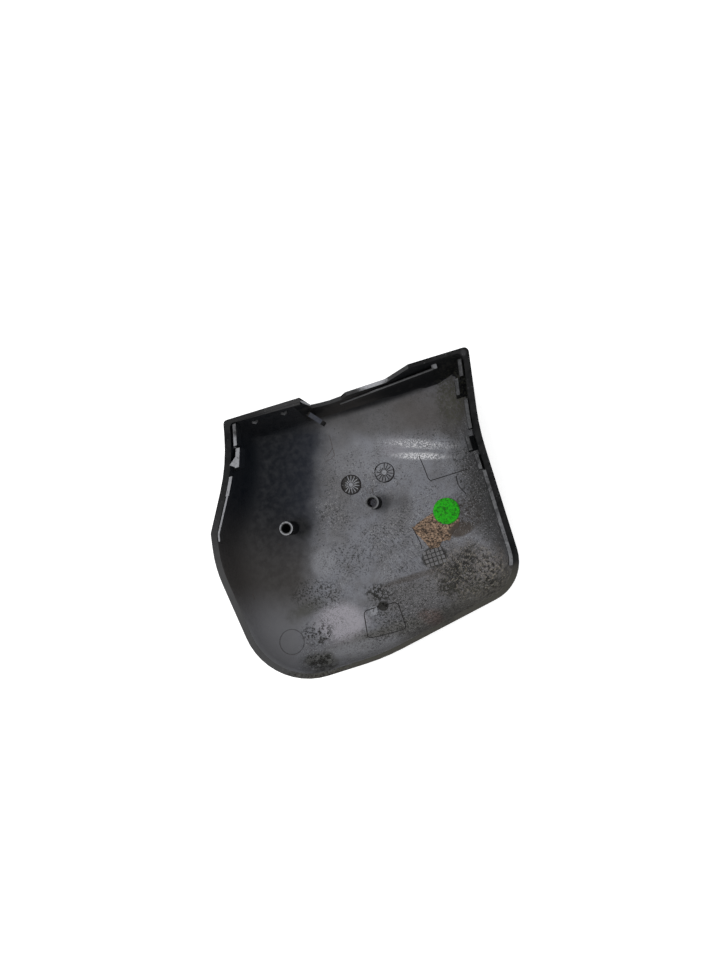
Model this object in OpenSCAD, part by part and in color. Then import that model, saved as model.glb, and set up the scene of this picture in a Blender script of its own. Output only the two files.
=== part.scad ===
// Wing mirror cover: one moulded shell lying on its outer face, open side up.
// X runs along the straight top edge, Y up to that edge, Z out of the open side.

/* [Rim outline] */
// Length of the straight top edge
top_edge = 162.8; // [152:0.2:172]
// Distance of the top left corner left of the drawing centre
top_left = 64.1; // [60:0.1:69]
// Distance of the top edge above the drawing centre
top_rise = 86; // [82:1:92]
// How much higher the top edge lies at its left end
top_left_rise = 1.4; // [0:0.2:2.4]
// Distance of the waist of the right side right of the drawing centre
right_waist = 90.2; // [87:0.2:92]
// Height of the waist of the right side above the drawing centre
right_waist_rise = 35; // [28:1:42]
// Distance of the bottom right corner right of the drawing centre
right_foot = 90.6; // [88:0.2:94]
// Drop of the bottom right corner below the drawing centre
right_drop = 66.5; // [62:0.5:71]
// Distance of the bend in the bottom edge left of the drawing centre
bottom_bend = 9.3; // [4:0.5:14]
// Drop of the bend in the bottom edge below the drawing centre
bottom_drop = 87; // [83:1:91]
// Distance of the bottom left corner left of the drawing centre
left_foot = 86.8; // [82:0.2:90]
// Drop of the bottom left corner below the drawing centre
left_drop = 89.2; // [86:0.2:93]
// Distance of the widest point of the left side left of the drawing centre
left_belly = 97.4; // [94:0.2:102]
// Distance of the shoulder of the left side left of the drawing centre
shoulder_out = 93.7; // [92:0.1:97]
// Height of the shoulder of the left side above the drawing centre
shoulder_rise = 20.5; // [16:0.5:26]
// Distance of the hollow in the upper left side left of the drawing centre
hollow_out = 70.4; // [69:0.2:75]
// Height of the hollow in the upper left side above the drawing centre
hollow_rise = 60; // [54:1:64]
// Radius of the two top corners
top_corner_r = 3; // [2.5:0.5:5]
// Radius of the bottom right corner
right_corner_r = 27.2; // [24:0.2:32]
// Radius of the bottom left corner
left_corner_r = 43; // [38:1:47]

/* [Shell] */
// Thickness of the wall
wall = 2.6; // [2.2:0.1:3.2]
// Height of the rim above the surface the cover lies on, at the drawing centre
rim_height = 43.2; // [38:0.2:48]
// Rise of the rim towards the top edge, per millimetre
rim_rise = 0.085; // [0.06:0.005:0.1]
// Fall of the rim towards the right side, per millimetre
rim_fall = 0.043; // [0.02:0.001:0.06]
// Depth of the thickened bead below the rim
bead_h = 4; // [3:0.5:6]
// Radius of the gentle doming of the main face
dome_r = 900; // [700:20:1200]
// Slope that the main face gains towards the top wall
top_slope = 0.13; // [0.06:0.01:0.2]
// Slope that the main face gains towards the bottom wall
bottom_slope = 0.16; // [0.06:0.01:0.22]
// Distance of the upper soft crease above the drawing centre
upper_crease = 42; // [36:1:48]
// Distance of the lower soft crease below the drawing centre
lower_crease = 44; // [38:1:50]

/* [Top notch] */
// Left end of the notch in the top wall, left of the drawing centre
notch_left = 12.6; // [10:0.2:16]
// Right end of the notch, right of the drawing centre
notch_right = 59.2; // [54:0.2:64]
// Height of the deep left part of the notch above the surface the cover lies on
notch_deep = 31.6; // [28:0.2:34]
// Height of the shallow right part of the notch
notch_shallow = 36.4; // [35:0.2:40]
// Place of the step between the two parts, right of the drawing centre
notch_step = 11; // [6:0.5:18]

/* [Tongues] */
// Width of the plain rim between the outer edge and the tongues
land_w = 4.1; // [3.6:0.1:5]
// Groove between that rim and the tongues
groove_w = 0.8; // [0.5:0.1:1.2]
// Thickness of the tongues of the left side
left_tongue_t = 1.6; // [1.2:0.1:2.2]
// Thickness of the tongues of the right side
right_tongue_t = 2.2; // [1.6:0.1:2.8]
// How far the staggered right tongues stand further in
stagger = 4.2; // [3.4:0.2:5]
// Height of the tongues above the rim
tongue_proud = 1.6; // [1:0.2:2.4]
// Depth of the groove between the rim and the tongues
groove_depth = 2.4; // [1.6:0.2:3.2]
// Thickness of the shelf that carries the tongues
shelf_t = 3; // [2:0.2:4]
// Thickness of the tongue plate behind the notch
plate_t = 1.2; // [0.8:0.1:1.8]
// Distance of the tongue plate behind the top edge
plate_set_in = 5.9; // [5.4:0.1:6.4]
// Length of the tongue plate
plate_l = 65; // [56:1:68]
// Drop of the tongue plate's left end below the notch
plate_drop = 3.4; // [2:0.2:5]
// Slope of the tongue plate's top edge, in degrees
plate_slope = 13; // [10:0.5:15]

/* [Ribs] */
// Thickness of the blade at the left end of the notch
blade_t = 3; // [2.2:0.2:3.6]
// Height of the blade above the surface the cover lies on
blade_h = 38; // [35:0.5:41]
// Reach of the blade from the top edge
blade_reach = 20; // [18:0.5:21]
// Turn of the blade away from the top edge, in degrees
blade_turn = 50; // [45:1:55]
// Width of the post at the right end of the tongue plate
post_w = 3.4; // [2.8:0.2:4.4]
// Depth of the post
post_d = 4.4; // [4:0.2:5]
// Height of the post above the surface the cover lies on
post_h = 42; // [38:0.5:44]
// Width of the two snap nubs of the top wall
nub_w = 4.2; // [3.6:0.2:5]
// Reach of the snap nubs from the top edge
nub_reach = 6.4; // [5.8:0.2:7.2]
// Height of the snap nubs
nub_h = 3.4; // [2:0.2:5]
// Drop of the snap nubs below the rim
nub_drop = 8.6; // [7:0.2:11]
// Distance of the nearer snap nub left of the drawing centre
near_nub = 26.5; // [22:0.5:30]
// Distance of the further snap nub left of the drawing centre
far_nub = 46.3; // [42:0.1:50]
// Width of the ledge beside the notch, at its wide end
ledge_w = 4.3; // [3.5:0.1:5.5]

/* [Bosses] */
// Distance between the two screw bosses
boss_spacing = 60.6; // [54:0.2:66]
// Distance of the right boss right of the drawing centre
boss_right = 9.8; // [6:0.2:14]
// Height of both bosses above the drawing centre
boss_rise = 11; // [8:0.5:14]
// Outer diameter of the bosses
boss_d = 9.2; // [8.6:0.2:10.4]
// Diameter of the screw bores
bore_d = 6.4; // [5.2:0.2:7]
// Height of the bosses above the surface the cover lies on
boss_top = 24; // [21:0.5:26]
// Depth of the screw bores
bore_depth = 16; // [12:0.5:17]

/* [Marks] */
// Diameter of the engraved ring of each date dial
dial_d = 14; // [12:0.5:16]
// Width of the engraved rings
line_w = 0.6; // [0.4:0.1:0.8]
// Depth of the engraved rings
line_depth = 0.35; // [0.2:0.05:0.5]
// Side of the small raised block near the bottom edge
block_w = 6; // [4:0.5:7]
// Height of the small raised block
block_h = 1.5; // [1:0.1:2.5]

/* [Labels] */
// Diameter of the round paper dot
dot_d = 18; // [14:1:22]
// Length of the label residue
residue_l = 33.3; // [30:0.1:35]
// Width of the label residue
residue_w = 23.6; // [20:0.2:25]
// Thickness of the paper dot and of the label residue
paper_t = 0.2; // [0.15:0.05:0.4]

/* [Hidden] */
$fn = 48;
mid = wall / 2;
big = 400;

clear_above = 30;
above_all = rim_height + clear_above;
belly_rise = -1;
bend_r = 150;
belly_r = 80;
shoulder_r = 6;
hollow_r = 120;

// Sides of the outline in order: top, right upper, right lower, bottom right, bottom left,
// left lower, left belly, left upper, left top.
rim_vertices = [
    [-top_left, top_rise + top_left_rise],
    [top_edge - top_left, top_rise],
    [right_waist, right_waist_rise],
    [right_foot, -right_drop],
    [-bottom_bend, -bottom_drop],
    [-left_foot, -left_drop],
    [-left_belly, belly_rise],
    [-shoulder_out, shoulder_rise],
    [-hollow_out, hollow_rise]
];
rim_radii = [
    top_corner_r, top_corner_r, bend_r, right_corner_r, bend_r,
    left_corner_r, belly_r, shoulder_r, hollow_r
];
arc_steps = [4, 4, 3, 9, 3, 11, 4, 2, 4];
side_steps = [15, 5, 7, 8, 5, 6, 2, 5, 3];

// For each side: lean of the wall, width and height of the fillet to the main face, width of the rim.
lean = [6, 2.4, 1.6, 1.2, 1.2, 1.4, 1.8, 3.6, 4];
fillet_w = [8, 21, 24, 30, 30, 21, 19, 16, 14];
fillet_h = [9, 20, 21, 24, 25, 23, 22, 18, 15];
rim_w = [wall, land_w, land_w, 3, 3, land_w, land_w, land_w, land_w];
least_r = 2.4;
bead_step = 1.5;
side_count = len(rim_vertices);

function unit(v) = v / norm(v);
function turned(v) = [-v[1], v[0]];
function cross2(a, b) = a[0] * b[1] - a[1] * b[0];
function prev(i) = (i + side_count - 1) % side_count;
function next(i) = (i + 1) % side_count;
function mix(a, b, t) = a + (b - a) * t;

// The outline runs clockwise, so its inside is on the right of each side.
function side_dir(i) = unit(rim_vertices[next(i)] - rim_vertices[i]);
function inward(i) = -turned(side_dir(i));
function inset_vertex(i, d) =
    let (
        p = rim_vertices[i] + inward(prev(i)) * d[prev(i)],
        q = rim_vertices[i] + inward(i) * d[i],
        u = side_dir(prev(i)),
        v = side_dir(i)
    ) p + u * (cross2(q - p, v) / cross2(u, v));
function hollow_corner(i) = cross2(side_dir(prev(i)), side_dir(i)) > 0;
function corner_r(i, d) =
    let (depth = min(d[prev(i)], d[i]))
        hollow_corner(i) ? rim_radii[i] + depth : max(rim_radii[i] - depth, least_r + depth * 0.5);

// Rounded outline whose sides are set in by d: a list of [x, y] with the same count for any d.
function rounded(d) =
    let (
        v = [for (i = [0:side_count - 1]) inset_vertex(i, d)],
        arcs = [for (i = [0:side_count - 1]) corner_arc(v[prev(i)], v[i], v[next(i)], corner_r(i, d), arc_steps[i])]
    ) [
        for (i = [0:side_count - 1])
            let (a = arcs[i], b = arcs[next(i)][0], last = a[len(a) - 1])
                each concat(a, [for (k = [1:side_steps[i] - 1]) mix(last, b, k / side_steps[i])])
    ];
function corner_arc(a, v, b, r, steps) =
    let (
        u = unit(a - v),
        w = unit(b - v),
        half = acos(u * w) / 2,
        reach = min(r / tan(half), 0.75 * min(norm(a - v), norm(b - v))),
        centre = v + unit(u + w) * (reach / cos(half)),
        start = v + u * reach,
        end = v + w * reach
    ) [for (k = [0:steps]) centre + arc_between(start - centre, end - centre, k / steps)];
function arc_between(a, b, t) =
    let (whole = atan2(cross2(a, b), a * b), s = sin(whole * t), c = cos(whole * t))
        [a[0] * c - a[1] * s, a[0] * s + a[1] * c];

// A value given for each side, shared out to the outline's points and blended round its corners.
function shared(values) = [
    for (i = [0:side_count - 1]) each concat(
        [for (k = [0:arc_steps[i]]) mix(values[prev(i)], values[i], k / arc_steps[i])],
        [for (k = [1:side_steps[i] - 1]) values[i]]
    )
];

// Heights of the rim plane and of the outer main face.
function rim_z(p) = rim_height + rim_rise * p[1] - rim_fall * p[0];
rest_point = [0.4, 9.2];
crease_soft = 9;
function soft(t) = crease_soft * ln(1 + exp(t / crease_soft));
function face_z(p) =
    let (q = [p[0], p[1]] - rest_point)
        q * q / (2 * dome_r)
        + top_slope * (soft(p[1] - upper_crease) - soft(rest_point[1] - upper_crease))
        + bottom_slope * (soft(-p[1] - lower_crease) - soft(-rest_point[1] - lower_crease));
function top_y(x) = top_rise + top_left_rise * (1 - (x + top_left) / top_edge);
function lifted(p, z) = [p[0], p[1], z];

none = [for (i = [0:side_count - 1]) 0];
outer_rim = rounded(none);
inner_rim = rounded(rim_w);
face_edge = rounded(lean + fillet_w);
function wall_foot(depth) = rounded(lean + [for (i = [0:side_count - 1]) depth]);
outer_foot = wall_foot(0);
inner_foot = wall_foot(wall);
under_bead = rounded([for (i = [0:side_count - 1]) wall]);
point_count = len(outer_rim);
all_points = [0:point_count - 1];

// The fillet never takes more than most of the wall that it stands under.
wanted_rise = shared(fillet_h);
fillet_rise = [
    for (k = all_points) min(wanted_rise[k], 0.76 * (rim_z(outer_rim[k]) - face_z(outer_foot[k])))
];

// Rows of points of one skin that lies depth inside the outer one, from its middle out to the wall's foot.
face_fractions = [0.12, 0.32, 0.52, 0.7, 0.86];
fillet_angles = [90, 74, 60, 46, 32, 17, 0];
function face_row(t, depth) = [
    for (k = all_points) let (p = mix(rest_point, face_edge[k], t)) lifted(p, face_z(p) + depth)
];
function fillet_row(foot, angle, depth) = [
    for (k = all_points)
        let (p = mix(foot[k], face_edge[k], 1 - cos(angle)))
            lifted(p, face_z(p) + depth + (fillet_rise[k] - depth) * (1 - sin(angle)))
];
function skin_rows(foot, depth) = concat(
    [for (t = face_fractions) face_row(t, depth)],
    [for (a = fillet_angles) fillet_row(foot, a, depth)]
);
// A row on the wall, drop below the rim, for a skin whose top is ring and whose foot is foot.
function wall_row(ring, foot, drop) = [
    for (k = all_points)
        let (
            top = rim_z(outer_rim[k]),
            low = face_z(foot[k]) + fillet_rise[k],
            p = mix(ring[k], ring[k] + outer_foot[k] - outer_rim[k], drop / (top - low))
        ) lifted(p, rim_z(p) - drop)
];
function reversed(a) = [for (i = [len(a) - 1:-1:0]) a[i]];

// Closed solid from rows of points that run from one middle point to another.
module lofted(first, rows, last) {
    n = len(rows[0]);
    m = len(rows);
    points = concat([first], [for (r = rows) each r], [last]);
    end = len(points) - 1;
    function at(r, k) = 1 + r * n + k % n;
    polyhedron(
        points = points,
        faces = concat(
            [for (k = [0:n - 1]) [0, at(0, k + 1), at(0, k)]],
            [for (r = [0:m - 2]) for (k = [0:n - 1]) each [
                [at(r, k), at(r + 1, k + 1), at(r + 1, k)],
                [at(r, k), at(r, k + 1), at(r + 1, k + 1)]
            ]],
            [for (k = [0:n - 1]) [end, at(m - 1, k), at(m - 1, k + 1)]]
        ),
        convexity = 6
    );
}

// The moulded skin: outer face up to the rim, across the rim, and down the inner face.
module shell() {
    lofted(
        lifted(rest_point, 0),
        concat(
            skin_rows(outer_foot, 0),
            [wall_row(outer_rim, outer_foot, 0)],
            [wall_row(inner_rim, outer_foot, 0)],
            [wall_row(inner_rim, outer_foot, bead_h)],
            [wall_row(under_bead, outer_foot, bead_h + bead_step)],
            reversed(skin_rows(inner_foot, wall))
        ),
        lifted(rest_point, wall)
    );
}

// Solid bounded by the middle of the wall, open upwards, that trims whatever stands inside the shell.
module trimming_body() {
    headroom = 20;
    ring = rounded([for (i = [0:side_count - 1]) mid]);
    foot = wall_foot(mid);
    lofted(
        lifted(rest_point, mid),
        concat(
            skin_rows(foot, mid),
            [wall_row(ring, outer_foot, 0)],
            [[for (p = ring) lifted(p, rim_z(p) + headroom)]]
        ),
        lifted(rest_point, rim_z(rest_point) + headroom)
    );
}

// The part of what it is given between two levels, each counted from the rim plane.
module between_rim(low, high) {
    roll = atan(rim_fall);
    pitch = atan(rim_rise * cos(roll));
    intersection() {
        children();
        translate([0, 0, rim_height])
            rotate([pitch, roll, 0])
                translate([-big / 2, -big / 2, low])
                    cube([big, big, high - low]);
    }
}

tongue_line = land_w + groove_w;
shelf_sink = 2;

// The top side is set in alike for every tongue, so that none of them runs along it.
module tongue_outline(d) {
    top_inset = 2;
    polygon(rounded([for (i = [0:side_count - 1]) i == 0 ? top_inset : d]));
}

// Plan of a strip along the left (side -1) or right (side 1) rim. The span counts down from the top edge.
module rim_strip(side, span, near, far) {
    linear_extrude(above_all)
        intersection() {
            difference() {
                tongue_outline(near);
                tongue_outline(far);
            }
            translate([side > 0 ? 0 : -big, top_rise - span[1]])
                square([big, span[1] - span[0]]);
        }
}

// A tongue on a shelf that grows out of the wall. The further in it stands, the deeper its shelf lies.
module tongue(side, span, step, thick) {
    start = tongue_line + step;
    shelf_top = -groove_depth - shelf_sink * max(step, 0);
    between_rim(shelf_top - shelf_t, tongue_proud)
        rim_strip(side, span, start, start + thick);
    between_rim(shelf_top - shelf_t, shelf_top)
        rim_strip(side, span, mid / 2, start + thick);
}

// Spans of the tongues, and how much further in than the others each one stands.
left_spans = [
    [2.9, 16.4],
    [18.3, 30],
    [34.4, 45.6],
    [45.6, top_rise - shoulder_rise + 6.5]
];
left_steps = [1.5, 2.7, -0.3, 0.2];
left_extra = [0.4, 0.9, 0.3, -0.5];
right_spans = [
    [6.7, 17],
    [17.6, 27.7],
    [31.3, 49.8],
    [53.4, 62.9],
    [66.5, 76],
    [77.2, top_rise + right_drop - right_corner_r + 13.6]
];
right_steps = [0.7, stagger, 0, stagger - 1, 0.8, -0.9];

// Point of the left side of the outline, set in by d, at the height y.
function left_point(y, d) =
    let (ring = rounded([for (i = [0:side_count - 1]) d]))
        [for (k = all_points)
            let (p = ring[k], q = ring[(k + 1) % point_count])
                if (p[0] < 0 && p[1] <= y && q[1] > y) mix(p, q, (y - p[1]) / (q[1] - p[1]))
        ][0];

// Three-cornered web that braces the second left tongue against the rim.
module gusset() {
    span = left_spans[1];
    foot = tongue_line + left_steps[1] + 0.4;
    reach = land_w - 0.4;
    between_rim(-groove_depth - shelf_sink * left_steps[1] - 1, tongue_proud - 1)
        linear_extrude(above_all)
            polygon([
                left_point(top_rise - span[0] - 3.6, foot),
                left_point(top_rise - span[0] - 8.8, reach),
                left_point(top_rise - span[1] + 0.2, foot)
            ]);
}

module tongues() {
    gusset();
    for (i = [0:len(left_spans) - 1])
        tongue(-1, left_spans[i], left_steps[i], left_tongue_t + left_extra[i]);
    for (i = [0:len(right_spans) - 1])
        tongue(1, right_spans[i], right_steps[i], right_tongue_t);
}

// A profile in X and Z, made thick from y towards the open side of the top wall.
module across(y, thick) {
    translate([0, y, 0])
        rotate([90, 0, 0])
            linear_extrude(thick)
                children();
}

// Rounding of the notch's left end: distances from that end, and rises above the deep floor.
notch_curve = [[3, 2.4], [9, 0.8], [15.8, 0]];
notch_cut = 16;

module top_notch() {
    flare = 2;
    step_w = 4;
    step_rise = 0.9;
    lead_w = 17;
    lead_rise = 0.8;
    across(top_rise + notch_cut - 10, notch_cut)
        polygon(concat(
            [
                [-notch_left - flare, above_all],
                [-notch_left, rim_z([-notch_left, top_rise])]
            ],
            [for (p = notch_curve) [p[0] - notch_left, notch_deep + p[1]]],
            [
                [notch_step, notch_deep + step_rise],
                [notch_step + step_w, notch_shallow],
                [notch_right - lead_w, notch_shallow + lead_rise],
                [notch_right, rim_z([notch_right, top_rise])],
                [notch_right + flare / 2, above_all]
            ]
        ));
}

// Height at which the feet of the ribs start, inside the wall below them.
rib_foot = 5;

// Thin plate that stands behind the notch and runs on to the post.
module tongue_plate() {
    left = notch_step - 2.4;
    end = left + plate_l;
    low = notch_deep - plate_drop;
    post_set_in = 2.2;
    across(top_rise - plate_set_in, plate_t)
        polygon([
            [left, rib_foot],
            [left, low],
            [end, low + plate_l * tan(plate_slope)],
            [end, rib_foot]
        ]);
    translate([end - 0.5, top_rise - post_set_in - post_d, rib_foot])
        cube([post_w, post_d, post_h - rib_foot]);
}

// Blade across the corner of the notch: a bracket out of the wall that carries a raised plate.
module blade() {
    web_h = 26;
    root_h = 12;
    plate_w = 12.4;
    plate_h = 8;
    ease = 1.4;
    raised = blade_reach - plate_w;
    translate([-notch_left - 4.7, top_y(-notch_left) - 2.8, 0])
        rotate([0, 0, -blade_turn])
            across(blade_t / 2, blade_t)
                polygon([
                    [-2, root_h],
                    [-2, web_h],
                    [raised, web_h],
                    [raised, blade_h - ease],
                    [raised + ease, blade_h],
                    [blade_reach - ease, blade_h],
                    [blade_reach, blade_h - ease],
                    [blade_reach, blade_h - plate_h]
                ]);
}

// Small v-shaped bracket on the inner face of the top wall.
module snap_nub(x) {
    arm = 1.2;
    half = nub_w / 2;
    root = top_y(x) - mid;
    tip = top_y(x) - nub_reach;
    translate([x, 0, rim_z([x, root]) - nub_drop - nub_h])
        linear_extrude(nub_h)
            polygon([
                [-half, root],
                [-half, tip + arm],
                [0, tip],
                [half, tip + arm],
                [half, root],
                [half - arm, root],
                [half - arm, tip + 2 * arm],
                [0, tip + 1.5 * arm],
                [arm - half, tip + 2 * arm],
                [arm - half, root]
            ]);
}

// Ledge under the rim that widens towards the notch.
module ledge() {
    start = 4.5 - top_left;
    end = -notch_left - 0.8;
    narrow = 2.9;
    between_rim(-3.4, -0.3)
        linear_extrude(above_all)
            polygon([
                [start, top_y(start) - mid],
                [start, top_y(start) - narrow],
                [end, top_y(end) - ledge_w],
                [end, top_y(end) - mid]
            ]);
}

boss_places = [[boss_right - boss_spacing, boss_rise], [boss_right, boss_rise]];

module bosses() {
    for (p = boss_places)
        translate([p[0], p[1], face_z(p) + mid])
            cylinder(d = boss_d, h = boss_top - face_z(p) - mid);
}
module bores() {
    for (p = boss_places)
        translate([p[0], p[1], boss_top - bore_depth])
            cylinder(d = bore_d, h = bore_depth + 1);
}

// Puts what it is given on the inner face at p, square to the face there.
module on_face(p) {
    step = 1;
    slope_x = (face_z(p + [step, 0]) - face_z(p - [step, 0])) / (2 * step);
    slope_y = (face_z(p + [0, step]) - face_z(p - [0, step])) / (2 * step);
    translate([p[0], p[1], face_z(p) + wall])
        rotate([atan(slope_y), -atan(slope_x), 0])
            children();
}

dial_places = [[-2.7, boss_rise + 17], [21.9, boss_rise + 18.2]];
block_rise = 27.4;
pocket_rise = 29.4;
block_place = [-12.1, block_rise - bottom_drop];
pocket_place = [-5.5, pocket_rise - bottom_drop];

module dial_rings() {
    for (p = dial_places)
        on_face(p)
            translate([0, 0, -line_depth])
                difference() {
                    cylinder(d = dial_d, h = 2);
                    translate([0, 0, -1])
                        cylinder(d = dial_d - 2 * line_w, h = 4);
                }
}

// Shallow three-sided pocket beside the raised block.
module pocket() {
    on_face(pocket_place)
        translate([0, 0, -mid])
            linear_extrude(wall)
                polygon([[0, 1.6], [4.6, 2.4], [3.4, -2.4]]);
}
module raised_block() {
    on_face(block_place)
        translate([-block_w / 2, -block_w / 2, -mid])
            cube([block_w, block_w, block_h + mid]);
}

module mirror_cover() {
    color("#3b3d40")
        difference() {
            union() {
                difference() {
                    shell();
                    top_notch();
                }
                intersection() {
                    trimming_body();
                    union() {
                        tongues();
                        tongue_plate();
                        blade();
                        snap_nub(-near_nub);
                        snap_nub(-far_nub);
                        ledge();
                    }
                }
                bosses();
                raised_block();
            }
            bores();
            dial_rings();
            pocket();
        }
}

// Torn outline of the residue, in shares of its length and width.
torn_edge = [
    [-0.495, 0.288], [-0.24, 0.415], [0.03, 0.517], [0.27, 0.424], [0.505, 0.144],
    [0.42, -0.093], [0.285, -0.186], [0.174, -0.39], [0.036, -0.339], [-0.09, -0.483],
    [-0.258, -0.449], [-0.342, -0.195], [-0.426, -0.017]
];
dot_place = [54.8, -8.4];
residue_place = [45.5, -19];
paper_gap = 0.12;
residue_gap = 0.34;
dot_clearance = 0.1;

module inspection_dot() {
    color("#2aa51f")
        on_face(dot_place)
            translate([0, 0, paper_gap])
                cylinder(d = dot_d, h = paper_t);
}

// Torn paper, clear of the dot that is stuck over its corner.
module label_residue() {
    color("#8a6d52")
        difference() {
            on_face(residue_place)
                translate([0, 0, residue_gap])
                    linear_extrude(paper_t)
                        polygon([for (p = torn_edge) [p[0] * residue_l, p[1] * residue_w]]);
            on_face(dot_place)
                translate([0, 0, -2])
                    cylinder(d = dot_d + 2 * dot_clearance, h = 4);
        }
}

rim_x = [for (p = outer_rim) p[0]];
rim_y = [for (p = outer_rim) p[1]];
plan_centre = [(min(rim_x) + max(rim_x)) / 2, (min(rim_y) + max(rim_y)) / 2];
module centred() {
    translate([-plan_centre[0], -plan_centre[1], 0])
        children();
}

centred() mirror_cover();
centred() inspection_dot();
centred() label_residue();
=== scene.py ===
"""Looks of a wing mirror cover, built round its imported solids.

The cover lies on its outer face with the open side up. Lengths in the classes are
in millimetres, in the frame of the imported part, and are turned to metres on use.
"""

import logging
import math
from collections.abc import Callable
from dataclasses import dataclass
from enum import Enum

import bmesh
import bpy
from bmesh.types import BMesh, BMFace, BMVert
from bpy.types import Material, Mesh, Node, NodeSocket, NodeTree, Object
from mathutils import Matrix, Vector, noise
from mathutils.bvhtree import BVHTree

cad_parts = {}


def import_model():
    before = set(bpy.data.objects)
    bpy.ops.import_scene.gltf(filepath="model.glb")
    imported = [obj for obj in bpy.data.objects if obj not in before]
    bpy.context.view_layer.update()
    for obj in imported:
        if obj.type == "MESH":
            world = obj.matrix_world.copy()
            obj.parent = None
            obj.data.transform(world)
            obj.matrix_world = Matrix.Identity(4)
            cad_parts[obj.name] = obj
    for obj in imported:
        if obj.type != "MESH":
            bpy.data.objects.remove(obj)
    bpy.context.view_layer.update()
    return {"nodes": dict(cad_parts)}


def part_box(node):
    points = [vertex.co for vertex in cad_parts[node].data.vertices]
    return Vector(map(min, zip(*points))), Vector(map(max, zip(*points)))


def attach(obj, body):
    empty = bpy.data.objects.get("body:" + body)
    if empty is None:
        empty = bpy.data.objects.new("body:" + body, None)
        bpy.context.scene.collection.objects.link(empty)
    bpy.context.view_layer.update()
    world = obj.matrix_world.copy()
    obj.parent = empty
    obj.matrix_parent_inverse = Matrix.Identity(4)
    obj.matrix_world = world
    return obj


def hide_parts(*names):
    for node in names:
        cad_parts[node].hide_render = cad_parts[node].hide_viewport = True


LOG = logging.getLogger("wing_mirror_cover")
MM = 0.001
BODY = "root"
COVER_NODE = "mirror_cover"
DOT_NODE = "inspection_dot"
RESIDUE_NODE = "label_residue"
DOWN = Vector((0.0, 0.0, -1.0))
UP = Vector((0.0, 0.0, 1.0))
# Height over the table from which rays go down, in metres.
OVER_ALL = 0.2

Pixel = tuple[float, float]
Place = tuple[float, float]

DIAL_PIXELS: tuple[Pixel, Pixel] = ((350.8, 484.6), (384.1, 472.3))
LEFT_BOSS: Place = (-51.586, 11.354)
RIGHT_BOSS: Place = (9.014, 11.354)


class Tone(Enum):
    """Colours of the cover and of what lies on it, some of them painted light and shade, as linear red,
    green and blue.
    """

    # Near-black of the left floor: clean plastic darkened as painted shade.
    CLEAN_PLASTIC_IN_SHADE = (0.0026, 0.0044, 0.0080)
    # Painted reflection: a bluish sheen on the glossy black plastic.
    BLUE_SHEEN = (0.0190, 0.0225, 0.0350)
    # Painted shade: near-black for walls, pockets and holes out of the light.
    SHADED_BLACK = (0.0046, 0.0052, 0.0064)
    BLACK_LINE = (0.0100, 0.0095, 0.0100)
    WALL_BROWN = (0.0520, 0.0480, 0.0460)
    DULL_PLASTIC = (0.1620, 0.1630, 0.1740)
    DUST = (0.1620, 0.1670, 0.1880)
    THIN_DUST = (0.0900, 0.0860, 0.0860)
    PALE_DUST = (0.2300, 0.2350, 0.2550)
    # Painted highlight: lilac glint of light on the floor's slopes.
    LILAC_HIGHLIGHT = (0.3000, 0.2880, 0.3180)
    WARM_DUST = (0.0700, 0.0620, 0.0590)
    SLOPE_GREY = (0.0310, 0.0305, 0.0315)
    FLOOR_BROWN = (0.1180, 0.1020, 0.0930)
    WALL_OLIVE = (0.0880, 0.0850, 0.0760)
    CRUMB_TAN = (0.2700, 0.2400, 0.1950)
    GRIME_BLACK = (0.0065, 0.0062, 0.0045)
    DARK_GRIME = (0.0095, 0.0085, 0.0070)
    OLIVE_GRIME = (0.0420, 0.0420, 0.0300)
    RIM_BLACK = (0.0016, 0.0018, 0.0022)
    RIM_GREY = (0.0230, 0.0230, 0.0240)
    RIM_PALE = (0.0560, 0.0560, 0.0570)
    RIM_OLIVE = (0.0480, 0.0460, 0.0390)
    OUTER_BLACK = (0.0075, 0.0085, 0.0105)
    OUTER_RUBBED = (0.0500, 0.0500, 0.0530)
    # Worn grey, also used to paint lit tops and edges.
    WORN_AND_LIT_GREY = (0.0900, 0.0910, 0.0960)
    # Dark dirt on worn edges, also used as painted shade.
    DARK_DIRT_AND_SHADE = (0.0170, 0.0175, 0.0190)
    # Bright worn tops, painted as highlights.
    BRIGHT_WEAR_AND_HIGHLIGHT = (0.3100, 0.3150, 0.3350)
    # Light ring tops of the bosses, worn and painted as lit.
    RING_WORN_AND_LIT = (0.2400, 0.2450, 0.2600)
    # Painted light: the lit floor of a bore.
    BORE_FLOOR_HIGHLIGHT = (0.6600, 0.6700, 0.7600)
    LINT = (0.5200, 0.5200, 0.5300)
    # Painted highlight: fine bright glints.
    GLINT_HIGHLIGHT = (0.7200, 0.7200, 0.7400)
    GRIT = (0.0110, 0.0100, 0.0090)
    RUST_TINT = (0.1350, 0.0850, 0.0750)
    GREEN_PAPER = (0.0120, 0.4000, 0.0055)
    PALE_GREEN = (0.0550, 0.3300, 0.0300)
    GREEN_DIRT = (0.0100, 0.0450, 0.0070)
    PAPER_BROWN = (0.1300, 0.0860, 0.0580)
    PAPER_TAN = (0.3700, 0.2550, 0.1750)
    GLUE_BROWN = (0.0200, 0.0145, 0.0110)
    OLD_GLUE = (0.0560, 0.0440, 0.0360)
    FIBRE = (0.0600, 0.0380, 0.0250)
    WHITE = (0.9000, 0.9000, 0.9000)

    @property
    def rgba(self) -> tuple[float, float, float, float]:
        """The colour with full alpha."""
        return (*self.value, 1.0)


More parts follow.
